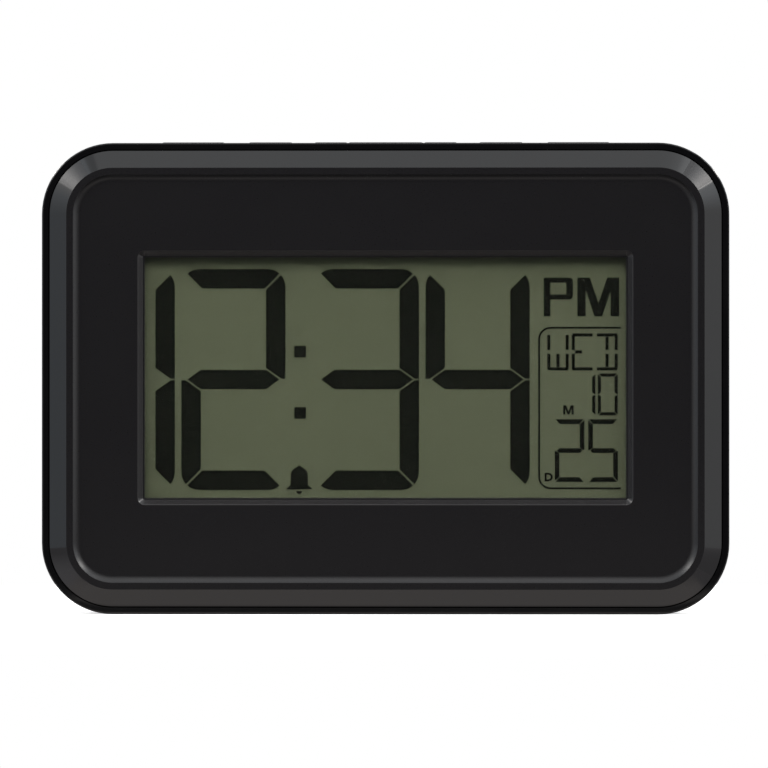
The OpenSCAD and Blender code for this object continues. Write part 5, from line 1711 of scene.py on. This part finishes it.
def wire_tree():
    """A path with its corners rounded, swept by a ring and repeated at an even step."""
    tree, given, result = new_tree("wire_run", [("Count", "Int", 2),
        ("Step", "Vector", (buzzer_lead_step, 0, 0)), ("Wire radius", "Float", 0.5*mm),
        ("Bend radius", "Float", 1.5*mm)])
    path = add_node(tree, "GeometryNodeMeshToCurve", {0: given["Geometry"]})
    bent = add_node(tree, "GeometryNodeFilletCurve",
        {"Curve": path.outputs[0], "Radius": given["Bend radius"], "Count": 7, "Limit Radius": True},
        mode="POLY")
    tube = swept(tree, bent.outputs[0], given["Wire radius"], sides=12)
    row = add_node(tree, "GeometryNodeMeshLine", {"Count": given["Count"], "Offset": given["Step"]},
        mode="OFFSET")
    return close_tree(tree, placed_on(tree, row.outputs[0], tube), given, result)


def chain(points):
    """The edges that join points in their order."""
    return [(i, i + 1) for i in range(len(points) - 1)]


# %% Leads
wires = wire_tree()
lead_r, battery_lead_bend = 0.5*mm, 3*mm
low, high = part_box("buzzer_leads")
buzzer_drop_y = middle(high.y, board_back_y)
left_x = low.x + lead_r
path = [(left_x, high.y, high.z - lead_r), (left_x, buzzer_drop_y, high.z - lead_r),
    (left_x, buzzer_drop_y, low.z + lead_r), (left_x, board_back_y, low.z + lead_r)]
buzzer_foot_z = low.z + lead_r
between_x = left_x + buzzer_lead_step/2
grow("buzzer_lead_pair", wires, path, chain(path), {"Step": (buzzer_lead_step, 0, 0)},
    lead_finish("buzzer_lead_insulation", 0, between_x), ["buzzer_leads"])
low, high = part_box("battery_leads")
foot_x = low.x + lead_r
path = [(high.x, cell_axis_y, lower_z), (foot_x, cell_axis_y, lower_z), (foot_x, board_back_y, lower_z)]
grow("battery_lead_pair", wires, path, chain(path),
    {"Step": (0, 0, upper_z - lower_z), "Bend radius": battery_lead_bend},
    lead_finish("battery_lead_insulation", 2, middle(lower_z, upper_z)), ["battery_leads"])

# %% Ribbon
low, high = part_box("ribbon_cable")
core_count, core_r = 10, 0.45*mm
ribbon_set_back, ribbon_bend_r = 2*mm, 2.5*mm
core_pitch = (high.x - low.x - 2*core_r)/(core_count - 1)
first_core = low.x + core_r
run_y = low.y + ribbon_set_back + core_r
bend_z = 9*mm
path = [(first_core, low.y + core_r, low.z), (first_core, low.y + core_r, board_high.z),
    (first_core, run_y, board_high.z + bend_z), (first_core, run_y, high.z - bend_z),
    (first_core, high.y - core_r, high.z - 2*core_r), (first_core, high.y - core_r, high.z)]
grow("ribbon_cores", wires, path, chain(path),
    {"Count": core_count, "Step": (core_pitch, 0, 0), "Wire radius": core_r, "Bend radius": ribbon_bend_r},
    ribbon_finish(first_core, core_pitch), ["ribbon_cable"])

# %% [markdown]
# The smallest pieces on the boards are drawn last. A film resistor is a ceramic chip between two thicker
# tinned ends, repeated at an even pitch. A solder joint is a low dome of tin where a lead or a core meets
# the board.

# %% Resistor tree
chip_len_share, chip_t_share, chip_w_share = 0.98, 0.84, 0.94


def chip_tree():
    """A row of film resistors, each a ceramic chip with thicker tinned ends."""
    tree, given, result = new_tree("chip_row", [("Length", "Float", 3.2*mm), ("Thickness", "Float", 0.6*mm),
        ("Width", "Float", 1.6*mm), ("End length", "Float", 0.5*mm)])
    length, thickness, width = given["Length"], given["Thickness"], given["Width"]
    end_length = given["End length"]
    body_size = add_node(tree, "ShaderNodeCombineXYZ", {"X": times(tree, length, chip_len_share),
        "Y": times(tree, thickness, chip_t_share), "Z": times(tree, width, chip_w_share)})
    end_size = add_node(tree, "ShaderNodeCombineXYZ", {"X": end_length, "Y": thickness, "Z": width})
    shapes = [add_node(tree, "GeometryNodeMeshCube", {"Size": body_size.outputs[0]}).outputs["Mesh"]]
    reach = times(tree, math_node(tree, "SUBTRACT", length, end_length), 0.5)
    for side in (-1.0, 1.0):
        place = add_node(tree, "ShaderNodeCombineXYZ", {"X": times(tree, reach, side)})
        end = add_node(tree, "GeometryNodeMeshCube", {"Size": end_size.outputs[0]})
        shapes.append(add_node(tree, "GeometryNodeTransform",
            {"Geometry": end.outputs["Mesh"], "Translation": place.outputs[0]}).outputs[0])
    whole = several(tree, "GeometryNodeJoinGeometry", shapes)
    return close_tree(tree, placed_on(tree, given["Geometry"], whole.outputs[0]), given, result)


# %% Resistors
low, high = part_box("resistors")
resistor_count, resistor_pitch, resistor_len, end_len = 5, 5*mm, 3.2*mm, 0.5*mm
spot = middle(low, high)
first_resistor = low.x + resistor_len/2
resistor_spots = [(first_resistor + i*resistor_pitch, spot.y, spot.z) for i in range(resistor_count)]
resistor_ends = (low.x, low.x + resistor_len - end_len)
grow("resistor_row", chip_tree(), resistor_spots, [], {"End length": end_len},
    chip_end_finish(resistor_pitch, resistor_ends, end_len/resistor_pitch), ["resistors"])

# %% Solder joints
joint_r, joint_h = 0.7*mm, 0.6*mm


def stud_tree():
    """A low dome on every point."""
    tree, given, result = new_tree("stud", [("Radius", "Float", 0.8*mm), ("Height", "Float", 0.5*mm)])
    dome = add_node(tree, "GeometryNodeMeshUVSphere", {"Segments": 14, "Rings": 8, "Radius": 1.0})
    size = add_node(tree, "ShaderNodeCombineXYZ",
        {"X": given["Radius"], "Y": given["Height"], "Z": given["Radius"]})
    placed = placed_on(tree, given["Geometry"], dome.outputs["Mesh"], Scale=size.outputs[0])
    return close_tree(tree, placed, given, result)


ribbon_feet = [(first_core + i*core_pitch, board_back_y, path[0][2]) for i in range(core_count)]
lead_feet = [(left_x + i*buzzer_lead_step, board_back_y, buzzer_foot_z) for i in range(2)]
lead_feet += [(foot_x, board_back_y, z) for z in (lower_z, upper_z)]
grow("solder_joints", stud_tree(), ribbon_feet + lead_feet, [], {"Radius": joint_r, "Height": joint_h},
    solder, sharp_angle=50)

# %% [markdown]
# ## Nothing left bare
#
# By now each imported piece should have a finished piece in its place. A piece that still shows is listed
# here.

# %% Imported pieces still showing
bare = [name for name in nodes if not nodes[name].hide_render]
print("packed nodes still showing:", bare)

# %% [markdown]
# ## Bounces
#
# Light that reaches the display passes many clear layers, so more bounces are allowed than by default.

# %% Bounces
clear_bounces, light_bounces = 32, 16
bpy.context.scene.cycles.transparent_max_bounces = clear_bounces
bpy.context.scene.cycles.max_bounces = light_bounces
bpy.context.scene.cycles.transmission_bounces = light_bounces
